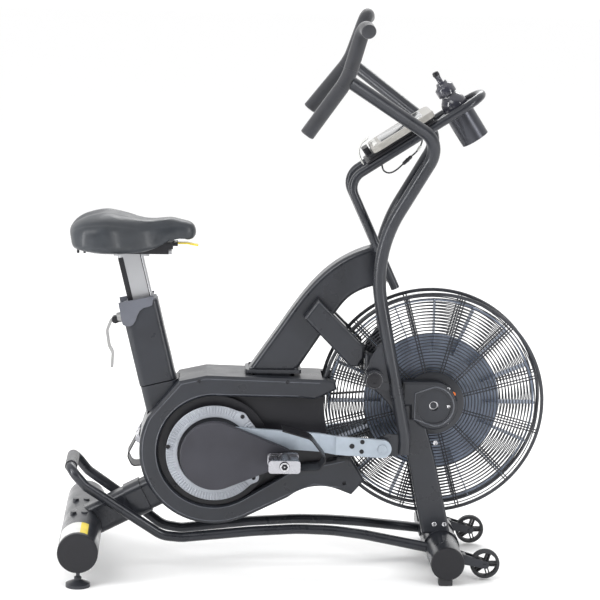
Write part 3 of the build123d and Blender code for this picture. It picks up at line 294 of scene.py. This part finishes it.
def wires(name, runs, radius, material, body, closed, resolution=2):
    """Round wires in mm radius along runs of points."""
    data = bpy.data.curves.new(name, "CURVE")
    data.dimensions = "3D"
    data.bevel_depth = radius * MM
    data.bevel_resolution = resolution
    data.use_fill_caps = True
    for run in runs:
        spline = data.splines.new("POLY")
        spline.points.add(len(run) - 1)
        for point, place in zip(spline.points, run):
            point.co = (*place, 1)
        spline.use_cyclic_u = closed
    data.materials.append(material)
    made = bpy.data.objects.new(name, data)
    bpy.context.scene.collection.objects.link(made)
    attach(made, body)
    return made


# ---------------------------------------------------------------- console cable
CABLE_R = 0.002
CABLE_ROUTE = [(403, -57, 1031), (404, -57, 1020), (412, -57, 1011), (425, -56, 1009),
               (440, -54.5, 1017), (457, -52, 1033), (474, -48, 1049), (490, -43, 1062),
               (501, -38, 1078), (504, -35, 1095), (503, -33, 1110), (501, -33, 1124)]
cable_data = bpy.data.curves.new("signal_cable", "CURVE")
cable_data.dimensions = "3D"
cable_data.bevel_depth = CABLE_R
cable_data.bevel_resolution = 4
cable_data.resolution_u = 12
cable_data.use_fill_caps = True
cable_spline = cable_data.splines.new("NURBS")
cable_spline.points.add(len(CABLE_ROUTE) - 1)
for point, place in zip(cable_spline.points, CABLE_ROUTE):
    point.co = (*spot(*place), 1)
cable_spline.order_u = 3
cable_spline.use_endpoint_u = True
cable_data.materials.append(sheath)
cable = bpy.data.objects.new("signal_cable", cable_data)
bpy.context.scene.collection.objects.link(cable)
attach(cable, "frame")
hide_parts("console_cable")


def along(start, end, outline):
    """A lathe profile whose heights run from 0 to 1 between two points."""
    run = end - start
    return (start, run, [(r, h * run.length / MM) for r, h in outline])


CONNECTOR = [(2.2, 0), (3.6, 0.06), (4.6, 0.12), (4.6, 0.46), (5.2, 0.48), (5.2, 0.60), (4.4, 0.62),
             (4.4, 0.90), (3.2, 0.96), (2.2, 1)]
PLUG = [(2.2, 0), (3.6, 0.1), (3.6, 0.9), (2.2, 1)]
plug = lathe("cable_connector", [along(spot(455, -52.4, 1031), spot(477, -47.4, 1051.2), CONNECTOR)],
             black, "frame", 16)
white_plug = lathe("cable_plug", [along(spot(491.5, -42.6, 1064), spot(499.6, -38.8, 1075.5), PLUG)],
                   pale, "frame", 12)


# ---------------------------------------------------------------- saddle
def curve_through(table, x):
    """Smooth value of a table of (x, value) at x, without overshoot."""
    for (x0, v0), (x1, v1) in zip(table, table[1:]):
        if x <= x1:
            break
    index = table.index((x0, v0))
    slopes = []
    for k in (index, index + 1):
        if 0 < k < len(table) - 1:
            before = (table[k][1] - table[k - 1][1]) / (table[k][0] - table[k - 1][0])
            after = (table[k + 1][1] - table[k][1]) / (table[k + 1][0] - table[k][0])
            slopes.append(0 if before * after <= 0 else 2 * before * after / (before + after))
        else:
            slopes.append((v1 - v0) / (x1 - x0))
    span = x1 - x0
    t = (x - x0) / span
    return ((2 * t ** 3 - 3 * t ** 2 + 1) * v0 + (t ** 3 - 2 * t ** 2 + t) * span * slopes[0]
            + (3 * t ** 2 - 2 * t ** 3) * v1 + (t ** 3 - t ** 2) * span * slopes[1])


# outlines of the saddle as (x, value) in mm: top line, underside line, half width seen from above
SADDLE_REAR, SADDLE_NOSE = -364, -52
SADDLE_TOP = [(-364, 846), (-360, 860), (-347, 878), (-320, 892), (-275, 899), (-235, 893),
              (-172, 881), (-107, 884), (-71, 878), (-57, 867), (-52, 852)]
SADDLE_BOTTOM = [(-364, 826), (-348, 812), (-315, 805), (-277, 800.5), (-236, 799), (-195, 800),
                 (-154, 808), (-110, 824), (-60, 832), (-52, 842)]
SADDLE_HALF = [(-364, 34), (-358, 68), (-342, 101), (-305, 121), (-265, 118), (-215, 88), (-150, 50),
               (-90, 39), (-66, 31), (-56, 19), (-52, 6)]
STATIONS, AROUND = 90, 72
SOFT, SQUARE = 2.6, 5.5         # powers of the section's curve above and below its widest line
LAST_FRAME = 20                 # of the cloth simulation


def smooth_step(value, low, high):
    t = min(1, max(0, (value - low) / (high - low)))
    return t * t * (3 - 2 * t)


def saddle_section(x):
    """Top, underside, waist and half width of the saddle at x; the width is averaged over a stretch."""
    reach = max(0, min(24, (x - SADDLE_REAR) / 2, (SADDLE_NOSE - x) / 2))
    top, low = curve_through(SADDLE_TOP, x), curve_through(SADDLE_BOTTOM, x)
    half = sum(curve_through(SADDLE_HALF, x + share * reach) for share in (-1, -0.5, 0, 0.5, 1)) / 5
    return top, low, low + 0.42 * (top - low), half


SLACK = 3.5      # the form starts this much smaller and swells, in mm
verts, faces = [], []
for station in range(STATIONS + 1):
    share = 0.5 - 0.5 * math.cos(math.pi * station / STATIONS)
    x = SADDLE_REAR + share * (SADDLE_NOSE - SADDLE_REAR)
    top, low, waist, half = saddle_section(x)
    top, half = top - SLACK, max(3, half - SLACK)
    for step in range(AROUND):
        angle = 2 * math.pi * step / AROUND
        c, s = math.cos(angle), math.sin(angle)
        power = 2 / (SOFT if s > 0 else SQUARE)
        y = half * math.copysign(abs(c) ** power, c)
        z = waist + ((top - waist) if s > 0 else (waist - low)) * math.copysign(abs(s) ** power, s)
        if s < 0:       # a groove under the saddle, over the seat slider
            z += 9 * (1 - smooth_step(abs(y), 24, 44)) * smooth_step(-s, 0.5, 0.9) * smooth_step(-x, 70, 90)
        else:           # a shallow dish along the top
            z -= 5.0 * (1 - smooth_step(abs(y), 6, 42)) * smooth_step(-x, 90, 200) * smooth_step(s, 0.3, 0.9)
        verts.append(spot(x, y, z))
for station in range(STATIONS):
    for step in range(AROUND):
        a = station * AROUND + step
        b = station * AROUND + (step + 1) % AROUND
        faces.append((a, a + AROUND, b + AROUND, b))
faces.append(tuple(range(AROUND)))
faces.append(tuple(reversed(range(STATIONS * AROUND, (STATIONS + 1) * AROUND))))


def puffed(verts, faces, cap):
    """Swell a closed form as cloth under pressure.

    No point moves further than cap or downwards, and the underside stays.
    """
    data = bpy.data.meshes.new("pad_form")
    data.from_pydata([tuple(v) for v in verts], [], faces)
    form = bpy.data.objects.new("pad_form", data)
    bpy.context.scene.collection.objects.link(form)
    remesh = form.modifiers.new("voxels", "REMESH")
    remesh.mode = "VOXEL"
    remesh.voxel_size = 0.005
    rest_mesh = bpy.data.meshes.new_from_object(form.evaluated_get(bpy.context.evaluated_depsgraph_get()))
    pad = bpy.data.objects.new("pad_cloth", rest_mesh)
    bpy.context.scene.collection.objects.link(pad)
    bpy.data.objects.remove(form)
    cloth = pad.modifiers.new("cloth", "CLOTH")
    cloth.settings.use_pressure = True
    cloth.settings.uniform_pressure_force = 4
    cloth.settings.effector_weights.gravity = 0
    cloth.point_cache.frame_start = 1
    cloth.point_cache.frame_end = LAST_FRAME
    for number in range(1, LAST_FRAME + 1):
        bpy.context.scene.frame_set(number)
    swollen = pad.evaluated_get(bpy.context.evaluated_depsgraph_get()).to_mesh()
    result = []
    for old, new in zip(rest_mesh.vertices, swollen.vertices):
        move = new.co - old.co
        move.z = max(0, move.z)
        move *= min(1, cap / max(move.length, 1e-9)) * smooth_step(old.co.z, 0.810, 0.832)
        result.append(old.co + move)
    rear, nose = min(v.x for v in result), max(v.x for v in result)
    first, last = spot(SADDLE_REAR, 0, 0).x, spot(SADDLE_NOSE, 0, 0).x
    for place in result:
        place.x = first + (place.x - rear) / (nose - rear) * (last - first)
    shape = [tuple(polygon.vertices) for polygon in rest_mesh.polygons]
    bpy.data.objects.remove(pad)
    bpy.context.scene.frame_set(1)
    return result, shape


SEAM_DEPTH, SEAM_ANGLE, SEAM_SPREAD = 1.8, 0.62, 0.08      # a pressed seam round the top, mm and radians
verts, faces = puffed(verts, faces, 0.005)
for index, place in enumerate(verts):
    x, z = (place.x - crank.x) / MM, place.z / MM
    top, low, waist, half = saddle_section(min(SADDLE_NOSE, max(SADDLE_REAR, x)))
    up_share, out_share = max(0, (z - waist) / (top - waist)), abs(place.y) / MM / half
    angle = math.atan2(up_share ** (SOFT / 2), out_share ** (SOFT / 2))
    verts[index] = place - Vector((0, 0, SEAM_DEPTH * MM * math.exp(
        -((angle - SEAM_ANGLE) / SEAM_SPREAD) ** 2)))
cushion = piece("saddle_cushion", verts, faces, vinyl, "seat")
cushion.modifiers.new("round", "SUBSURF").render_levels = 1
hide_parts("saddle")

pegs = lathe("saddle_pegs", [(spot(x, y, 800.5), Vector((0, 0, 1)), [(2.4, 0), (3.2, 0.8), (3.2, 10)])
                             for x in (-342, -326) for y in (-60, 60)], black, "seat", 12)

# ---------------------------------------------------------------- fan guards
RING_FACE, SPOKE_FACE = 38.8, 36.2      # |Y| of the rings and of the spokes behind them


def guard_ring(radius, y, count):
    """Points of a circle round the fan axis, in mm."""
    turns = [2 * math.pi * k / count for k in range(count)]
    return [fan + MM * Vector((radius * math.cos(turn), y, radius * math.sin(turn))) for turn in turns]


for side, s in SIDES:
    runs = [guard_ring(float(radius), s * RING_FACE, 96) for radius in range(84, 275, 8)]
    rings = wires(f"guard_rings_{side}", runs, 1.5, wire_paint, "frame", True)
    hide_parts(f"fan_guard_{side}")
    spokes = []
    for k in range(12):
        angle = 2 * math.pi * (k + 0.5) / 12
        out = Vector((math.cos(angle), 0, math.sin(angle)))
        aside = Vector((-out.z, 0, out.x))
        for shift in (-3.5, 3.5):
            middle = shift * aside + Vector((0, s * SPOKE_FACE, 0))
            spokes.append([fan + MM * (r * out + middle) for r in (70, 170, 277)])
    wires(f"guard_spokes_{side}", spokes, 1.7, wire_paint, "frame", False)
    rim = guard_ring(278.5, s * SPOKE_FACE, 160)
    wires(f"guard_rim_{side}", [rim], 4.6, wire_paint, "frame", True, 4)
    plate = lathe(f"guard_hub_{side}", [(fan + Vector((0, s * 35 * MM, 0)), Vector((0, s, 0)),
                                         [(20, 0), (80, 0), (80, 4.5), (76, 5.5), (20, 5.5)])],
                  wire_paint, "frame", 64)

# ---------------------------------------------------------------- ribbed rings on the cranks
RIBS, PER_RIB = 96, 6
LOBES = ((54, 5.5), (-32, 9.5))         # degrees round the ring, and how far each lobe stands out in mm
for side, s in SIDES:
    turn = 0 if s < 0 else math.pi
    verts, faces = [], []
    count = RIBS * PER_RIB
    for k in range(count):
        angle = 2 * math.pi * k / count
        rib = k % PER_RIB in (0, 1, 2)
        lobe = 0
        for degrees, reach in LOBES:
            gap = math.degrees((angle - math.radians(degrees) - turn + math.pi) % (2 * math.pi) - math.pi)
            lobe = max(lobe, reach * math.exp(-(gap / 6.5) ** 2))
        plain = lobe > 1.5
        high = 95.0 if rib or plain else 93.6
        section = [(92, 89), (92, 94.2), (93.2, 95), (101, 95), (102.5, high), (118 + 0.6 * lobe, high),
                   (119.5 + lobe, 94.6), (121 + lobe, 93.2), (121 + lobe, 89)]
        for r, y in section:
            verts.append(crank + MM * Vector((r * math.cos(angle), s * y, r * math.sin(angle))))
    rows = 9
    for k in range(count):
        for row in range(rows):
            a = k * rows + row
            b = k * rows + (row + 1) % rows
            c = (k + 1) % count * rows + row
            d = (k + 1) % count * rows + (row + 1) % rows
            faces.append((a, c, d, b) if s < 0 else (a, b, d, c))
    ring = piece(f"ribbed_ring_{side}", verts, faces, silver, "crank", smooth=False)
    crisp(ring, 20)
    if s < 0:
        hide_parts("ribbed_rings")

# ---------------------------------------------------------------- screws, plugs and caps
SCREW = [(0.6, 0.2), (2.0, 0.2), (2.0, 1.6), (3.6, 2.2), (4.4, 1.6), (4.6, 0)]
BOLT = [(1.0, 0.5), (3.0, 0.5), (3.0, 4.0), (6.0, 5.0), (7.2, 4.2), (7.4, 0.9), (9.4, 0.6), (9.6, 0)]


def fasteners(name, places, outline, material, body, size=1.0, segments=18):
    """Socket screws: places are (x, y, z) in mm from the crank axis, heads facing outwards along Y."""
    profiles = []
    for x, y, z in places:
        profiles.append((spot(x, y, z), Vector((0, math.copysign(1, y), 0)),
                         [(r * size, h * size) for r, h in reversed(outline)]))
    lathe(name, profiles, material, body, segments)


def both(places):
    return [(x, s * y, z) for side, s in SIDES for x, y, z in places]


fasteners("housing_screws", both([(328, 72, 224), (-96, 75, 214), (-40, 75, 484), (180, 75, 484)]),
          SCREW, black, "frame")
fasteners("hub_screws", both([(584, 74.6, 470), (586, 74.6, 425), (584, 74.6, 384), (520, 74.6, 470)]),
          SCREW, steel, "frame")
fasteners("hub_plug", both([(597, 72, 456)]), [(1, 3), (5, 3), (6, 2), (6, 0)], orange, "frame")
fasteners("leg_bolts", both([(560, 70.8, 118), (585, 70.8, 118), (556, 70.8, 330)]), SCREW, steel,
          "frame", 1.4)
fasteners("pivot_caps", both([(393, 127, 501)]),
          [(0.5, 0.6), (7, 0.6), (8, 2.2), (17, 2.4), (19.5, 0.8), (19.8, 0)], black, "frame",
          1.0, 40)
fasteners("ring_screws", [(117 * math.cos(math.radians(a)) * -s, s * 94.8,
                           crank.z / MM + 117 * math.sin(math.radians(a)) * -s)
                          for side, s in SIDES for a in (54, -32, 172)],
          SCREW, black, "crank", 1.2)
fasteners("pedal_end_bolts", [(170, -228.5, 304), (-170, 228.5, 304)], BOLT, black, "crank",
          0.9, 6)

# ---------------------------------------------------------------- bottle
cup_foot = spot(650, 0, 1203) - 70 * MM * loop_forward
BODY = [(1, -84), (29, -84), (32.4, -81), (32.8, -74), (32.8, 4), (32.8, 12), (32.2, 18), (30.5, 24),
        (26.5, 31), (22.5, 36), (20, 39), (19.2, 42), (19.2, 45)]
CAP = [(18, 44), (23, 44), (23.4, 46), (23.4, 64), (21, 67), (16, 70), (14, 74), (13.2, 79), (8, 80),
       (6.6, 82), (6.6, 93), (7.4, 94), (7.4, 98)]
VALVE = [(5, 97), (8.6, 97.5), (8.8, 101), (7.6, 107), (5, 108.5)]
flask = lathe("bottle_body", [(cup_foot, loop_up, BODY)], smoky, "bottle", 64)
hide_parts("bottle")
lathe("bottle_cap", [(cup_foot, loop_up, CAP)], smoky, "bottle", 56, knurl=0.03)
lathe("bottle_valve", [(cup_foot, loop_up, VALVE)], black, "bottle", 32)

# ---------------------------------------------------------------- console details
loop_bend = spot(321, 0, 988)


def on_console(along_mm, across_mm, lift_mm):
    return loop_bend + MM * (along_mm * loop_forward + lift_mm * loop_up) + Vector((0, across_mm * MM, 0))


def slab(name, a0, a1, half, l0, l1, material, corner=12, round_top=2.0):
    """Rounded plate lying on the console's plane."""
    outline = []
    for cx, cy, start in ((a1 - corner, half - corner, 0), (a0 + corner, half - corner, 90),
                          (a0 + corner, corner - half, 180), (a1 - corner, corner - half, 270)):
        for k in range(9):
            angle = math.radians(start + 90 * k / 8)
            outline.append((cx, cy, math.cos(angle), math.sin(angle)))
    verts, faces = [], []
    layers = [(corner, l0), (corner, l1 - round_top), (corner - 0.3 * round_top, l1 - 0.3 * round_top),
              (corner - round_top, l1)]
    for radius, lift in layers:
        for cx, cy, c, sn in outline:
            verts.append(on_console(cx + radius * c, cy + radius * sn, lift))
    n = len(outline)
    for row in range(len(layers) - 1):
        for k in range(n):
            beside = (k + 1) % n
            faces.append((row * n + k, row * n + beside, (row + 1) * n + beside, (row + 1) * n + k))
    faces.append(tuple(reversed(range(n))))
    faces.append(tuple(range((len(layers) - 1) * n, len(layers) * n)))
    made = piece(name, verts, faces, material, "frame")
    crisp(made, 40)
    return made


slab("console_display", 118, 240, 62, 39.5, 40.4, glassy, 8, 0.4)
KEY = [(6.5, 0), (6.5, 2.2), (5.8, 3.0), (1, 3.1)]
for row, across_mm in enumerate((-54, -36, -18, 0, 18, 36, 54)):
    key = lathe(f"console_key_{row}", [(on_console(104, across_mm, 39.4), loop_up, KEY)], pale, "frame", 24)

CLIP = [(373, 1093), (366, 1086), (355, 1077), (349, 1064), (349, 1051), (354, 1037), (363, 1022)]
verts, faces = [], []
for k, (x, z) in enumerate(CLIP):
    before, after = CLIP[max(0, k - 1)], CLIP[min(len(CLIP) - 1, k + 1)]
    run = Vector((after[0] - before[0], 0, after[1] - before[1])).normalized()
    out = Vector((run.z, 0, -run.x))
    for y in (-16, 16):
        for thick in (-2.5, 2.5):
            verts.append(spot(x + thick * out.x, y, z + thick * out.z))
for k in range(len(CLIP) - 1):
    a = 4 * k
    for i, j in ((0, 1), (1, 3), (3, 2), (2, 0)):
        faces.append((a + i, a + j, a + 4 + j, a + 4 + i))
faces.append((0, 2, 3, 1))
last = 4 * (len(CLIP) - 1)
faces.append((last, last + 1, last + 3, last + 2))
clip = piece("page_clip", verts, faces, pale, "frame")
clip.modifiers.new("soften", "SUBSURF").render_levels = 2

# ---------------------------------------------------------------- foam elbows and rounded grip ends
ARM_SPLIT = Matrix.Rotation(math.radians(3.4), 4, "Y")


def arm_spot(x, y, z, s):
    """A point on a handle arm: the left arm stands a few degrees ahead of the right one."""
    place = spot(x, s * y, z)
    if s > 0:
        place = pivot + ARM_SPLIT @ (place - pivot)
    return place


GRIP_END = [(0.5, 3.6), (6, 3.5), (12, 3.0), (15.6, 1.8), (17.2, 0.2), (17.4, -1.5)]
GRIP_TIPS = (((204, 292, 1125.2), (283, 292, 1237.2)),        # each end, and a point inside the grip
             ((339.6, 338, 1369.8), (333.6, 296, 1382.8)))
for side, s in SIDES:
    body = f"arm_{side}"
    bend = []
    for k in range(13):
        t = k / 12
        bend.append(arm_spot((1 - t) ** 2 * 280 + 2 * t * (1 - t) * 297 + t * t * 304.2, 292,
                             (1 - t) ** 2 * 1233 + 2 * t * (1 - t) * 1257 + t * t * 1282.5, s))
    wires(f"grip_elbow_{side}", [bend], 17.4, foam, body, False, 8)
    ends = []
    for tip, before in GRIP_TIPS:
        tip, before = arm_spot(*tip, s), arm_spot(*before, s)
        ends.append((tip, tip - before, list(reversed(GRIP_END))))
    lathe(f"grip_ends_{side}", ends, foam, body, 40)

# ---------------------------------------------------------------- post strip, sleeve collar, clamp knob
LEAN = math.radians(13.6)


def post_spot(across_mm, y, height):
    """A point beside the seat post's axis: across is forwards, height is above the floor on the axis."""
    x = -189 - (height - 680) * math.tan(LEAN)
    return spot(x + across_mm * math.cos(LEAN), y, height + across_mm * math.sin(LEAN))


OFF = 0.04                              # the decals stand this far off the post, mm
STRIP_LOW, STRIP_HIGH = 570, 789
verts, faces = [], []
for height in (STRIP_LOW, STRIP_HIGH):
    for across_mm, y in ((-18, -18 - OFF), (-31 - OFF, -18 - OFF), (-31 - OFF, 18 + OFF), (-18, 18 + OFF)):
        verts.append(post_spot(across_mm, y, height))
for k in range(3):
    faces.append((k, k + 1, k + 5, k + 4))
piece("post_strip", verts, faces, black, "seat_post", smooth=False)
EDGE_LINE = ((24, STRIP_LOW), (26, STRIP_LOW), (26, STRIP_HIGH), (24, STRIP_HIGH))
verts = [post_spot(across_mm, s * (18 + OFF), height) for side, s in SIDES
         for across_mm, height in EDGE_LINE]
edge_lines = piece("post_edge_lines", verts, [(0, 1, 2, 3), (4, 5, 6, 7)], black, "seat_post",
                   smooth=False)


def plates(name, outline, y0, y1, material, body="frame"):
    """Flat plates on both sides, cut to an outline of (x, z) and standing from |Y| y0 to y1."""
    verts, faces = [], []
    for side, s in SIDES:
        base, n = len(verts), len(outline)
        for y in (y0, y1):
            verts += [spot(x, s * y, z) for x, z in outline]
        faces.append(tuple(range(base, base + n)))
        faces.append(tuple(reversed(range(base + n, base + 2 * n))))
        for k in range(n):
            faces.append((base + k, base + n + k, base + n + (k + 1) % n, base + (k + 1) % n))
    piece(name, verts, faces, material, body, smooth=False)


COLLAR = [(-243, 673), (-155, 691), (-159, 668), (-167, 664), (-180, 661), (-190, 653), (-196, 641),
          (-200, 628), (-206, 618), (-213, 614), (-224, 614), (-232, 618), (-235, 628)]
MOUTH = [(256, 441), (274, 441), (274, 395), (280, 360), (290, 326), (309, 286), (298, 284), (278, 326),
         (268, 360), (262, 395)]
KNOB = [(1, 0), (8, 0), (9.5, 1.5), (9.5, 22.5), (8, 24), (1, 24)]
plates("sleeve_collar", COLLAR, 40, 40.9, collar)
plates("mouth_edges", MOUTH, 45, 48.5, black)
lathe("clamp_knob", [(spot(-251, -12, 624.5), Vector((0, 1, 0)), KNOB)], black, "clamp_lever", 32)

# ---------------------------------------------------------------- link bolts
# crank pin and arm hole of each link as (x, z) in mm, and the right link's bolts as (x, z, head radius)
RIGHT_ENDS = (Vector((2.6, 353.9)), Vector((417.4, 326)))
LEFT_ENDS = (Vector((-2.6, 254.1)), Vector((407, 324.9)))
LINK_BOLTS = ((341.5, 332.9, 5), (367.3, 344.0, 4.2), (365.8, 319.3, 4.2), (417.4, 326, 7.5))
axis_right = (RIGHT_ENDS[1] - RIGHT_ENDS[0]).normalized()
for (side, s), (pin, hole) in zip(SIDES, (RIGHT_ENDS, LEFT_ENDS)):
    lengthwise = (hole - pin).normalized()
    places = []
    for x, z, size in LINK_BOLTS:
        away = Vector((x, z)) - RIGHT_ENDS[1]
        u = away.dot(axis_right)
        v = away.dot(Vector((-axis_right.y, axis_right.x)))
        at = hole + u * lengthwise + v * Vector((-lengthwise.y, lengthwise.x))
        places.append((spot(at.x, s * 126, at.y), Vector((0, s, 0)),
                       [(size + 1.6, 0), (size + 1.2, 0.9), (size, 1.0), (size * 0.9, 0.4), (0.5, 0.4)]))
    lathe(f"link_bolts_{side}", places, black, f"link_{side}", 24)

# ---------------------------------------------------------------- housing beads and hub rims, lighter in colour as painted highlights
def arc(radius, start, end, y, steps=60):
    """Points round the crank axis, angles in degrees."""
    return [crank + MM * Vector((radius * math.cos(math.radians(start + (end - start) * k / steps)), y,
                                 radius * math.sin(math.radians(start + (end - start) * k / steps))))
            for k in range(steps + 1)]


for side, s in SIDES:
    y = s * 74.2
    inner = [spot(209, y, 448)] + arc(147, 84, 301, y) + [
        spot(220, y, 265), spot(276, y, 269), spot(328, y, 281)]
    outer = [spot(262, y, 481), spot(-21, y, 489), spot(-84, y, 475)] + arc(180, 152, 294, y) + [
        spot(186, y, 194), spot(252, y, 222), spot(318, y, 213)]
    # the beads' lighter colour is a painted highlight along the housing's rounded edges
    wires(f"housing_beads_{side}", [inner, outer], 1.5, highlight_paint, "frame", False, 3)

hub_rims = []
for side, s in SIDES:
    rim = [spot(500, s * 78, 458)]
    rim += [fan + MM * Vector((50 * math.cos(math.radians(a)), s * 78, 50 * math.sin(math.radians(a))))
            for a in range(90, -91, -6)]
    hub_rims.append(rim + [spot(500, s * 78, 392)])
# the hub rims' lighter colour is a painted highlight
wires("hub_rims", hub_rims, 2.2, highlight_paint, "frame", True, 3)

# ---------------------------------------------------------------- plain label on the rear stabiliser
LABEL_RADIUS = 50.15                    # just outside the tube
for name, start, end, material in (("label_yellow", 62, 84, yellow), ("label_white", 84, 150, pale)):
    verts, faces = [], []
    for k in range(13):
        angle = math.radians(start + (end - start) * k / 12)
        for y in (-240, -150):
            verts.append(spot(-332 + LABEL_RADIUS * math.cos(angle), y, 90 + LABEL_RADIUS * math.sin(angle)))
    faces = [(2 * k, 2 * k + 1, 2 * k + 3, 2 * k + 2) for k in range(12)]
    piece(name, verts, faces, material, "frame")

# ---------------------------------------------------------------- floor, lights, world
floor_data = bpy.data.meshes.new("floor")
floor_data.from_pydata([(-30, -30, 0), (30, -30, 0), (30, 30, 0), (-30, 30, 0)], [], [(0, 1, 2, 3)])
floor = bpy.data.objects.new("floor", floor_data)
bpy.context.scene.collection.objects.link(floor)
floor_paint = bpy.data.materials.new("floor")
floor_paint.use_nodes = True
floor_shader = floor_paint.node_tree.nodes["Principled BSDF"]
floor_shader.inputs["Base Color"].default_value = (0.99, 0.99, 0.99, 1)
floor_shader.inputs["Roughness"].default_value = 0.9
floor_data.materials.append(floor_paint)

world = bpy.data.worlds.new("studio")
bpy.context.scene.world = world
world.use_nodes = True
sky_nodes, sky_links = world.node_tree.nodes, world.node_tree.links
sky_place = sky_nodes.new("ShaderNodeTexCoord")
sky_side = sky_nodes.new("ShaderNodeVectorMath")
sky_side.operation = "DOT_PRODUCT"
sky_side.inputs[1].default_value = (0, 0.6, 1.0)
sky_links.new(sky_place.outputs["Generated"], sky_side.inputs[0])
sky_ramp = sky_nodes.new("ShaderNodeMapRange")
sky_ramp.inputs["From Min"].default_value = 0.05
sky_ramp.inputs["From Max"].default_value = 0.5
sky_ramp.inputs["To Min"].default_value = 0.10
sky_ramp.inputs["To Max"].default_value = 1.2
sky_links.new(sky_side.outputs["Value"], sky_ramp.inputs["Value"])
sky_links.new(sky_ramp.outputs["Result"], sky_nodes["Background"].inputs["Strength"])
sky_nodes["Background"].inputs["Color"].default_value = (1, 1, 1, 1)
bpy.context.scene.view_settings.view_transform = "Standard"


def area_light(name, place, target, size, power):
    data = bpy.data.lights.new(name, "AREA")
    data.shape = "RECTANGLE"
    data.size, data.size_y = size
    data.energy = power
    made = bpy.data.objects.new(name, data)
    made.location = place
    made.rotation_euler = (Vector(target) - Vector(place)).to_track_quat("-Z", "Y").to_euler()
    bpy.context.scene.collection.objects.link(made)


area_light("key", (-2.4, -3.2, 3.6), (0, 0, 0.6), (2.4, 1.6), 70)
area_light("strip_left", (-3.0, -1.6, 1.3), (0, 0, 0.7), (0.5, 2.6), 70)
area_light("strip_right", (2.8, -2.4, 1.5), (0, 0, 0.7), (0.5, 2.6), 60)
area_light("back", (0.5, 3.2, 3.4), (0, 0, 0.7), (3.0, 1.4), 80)
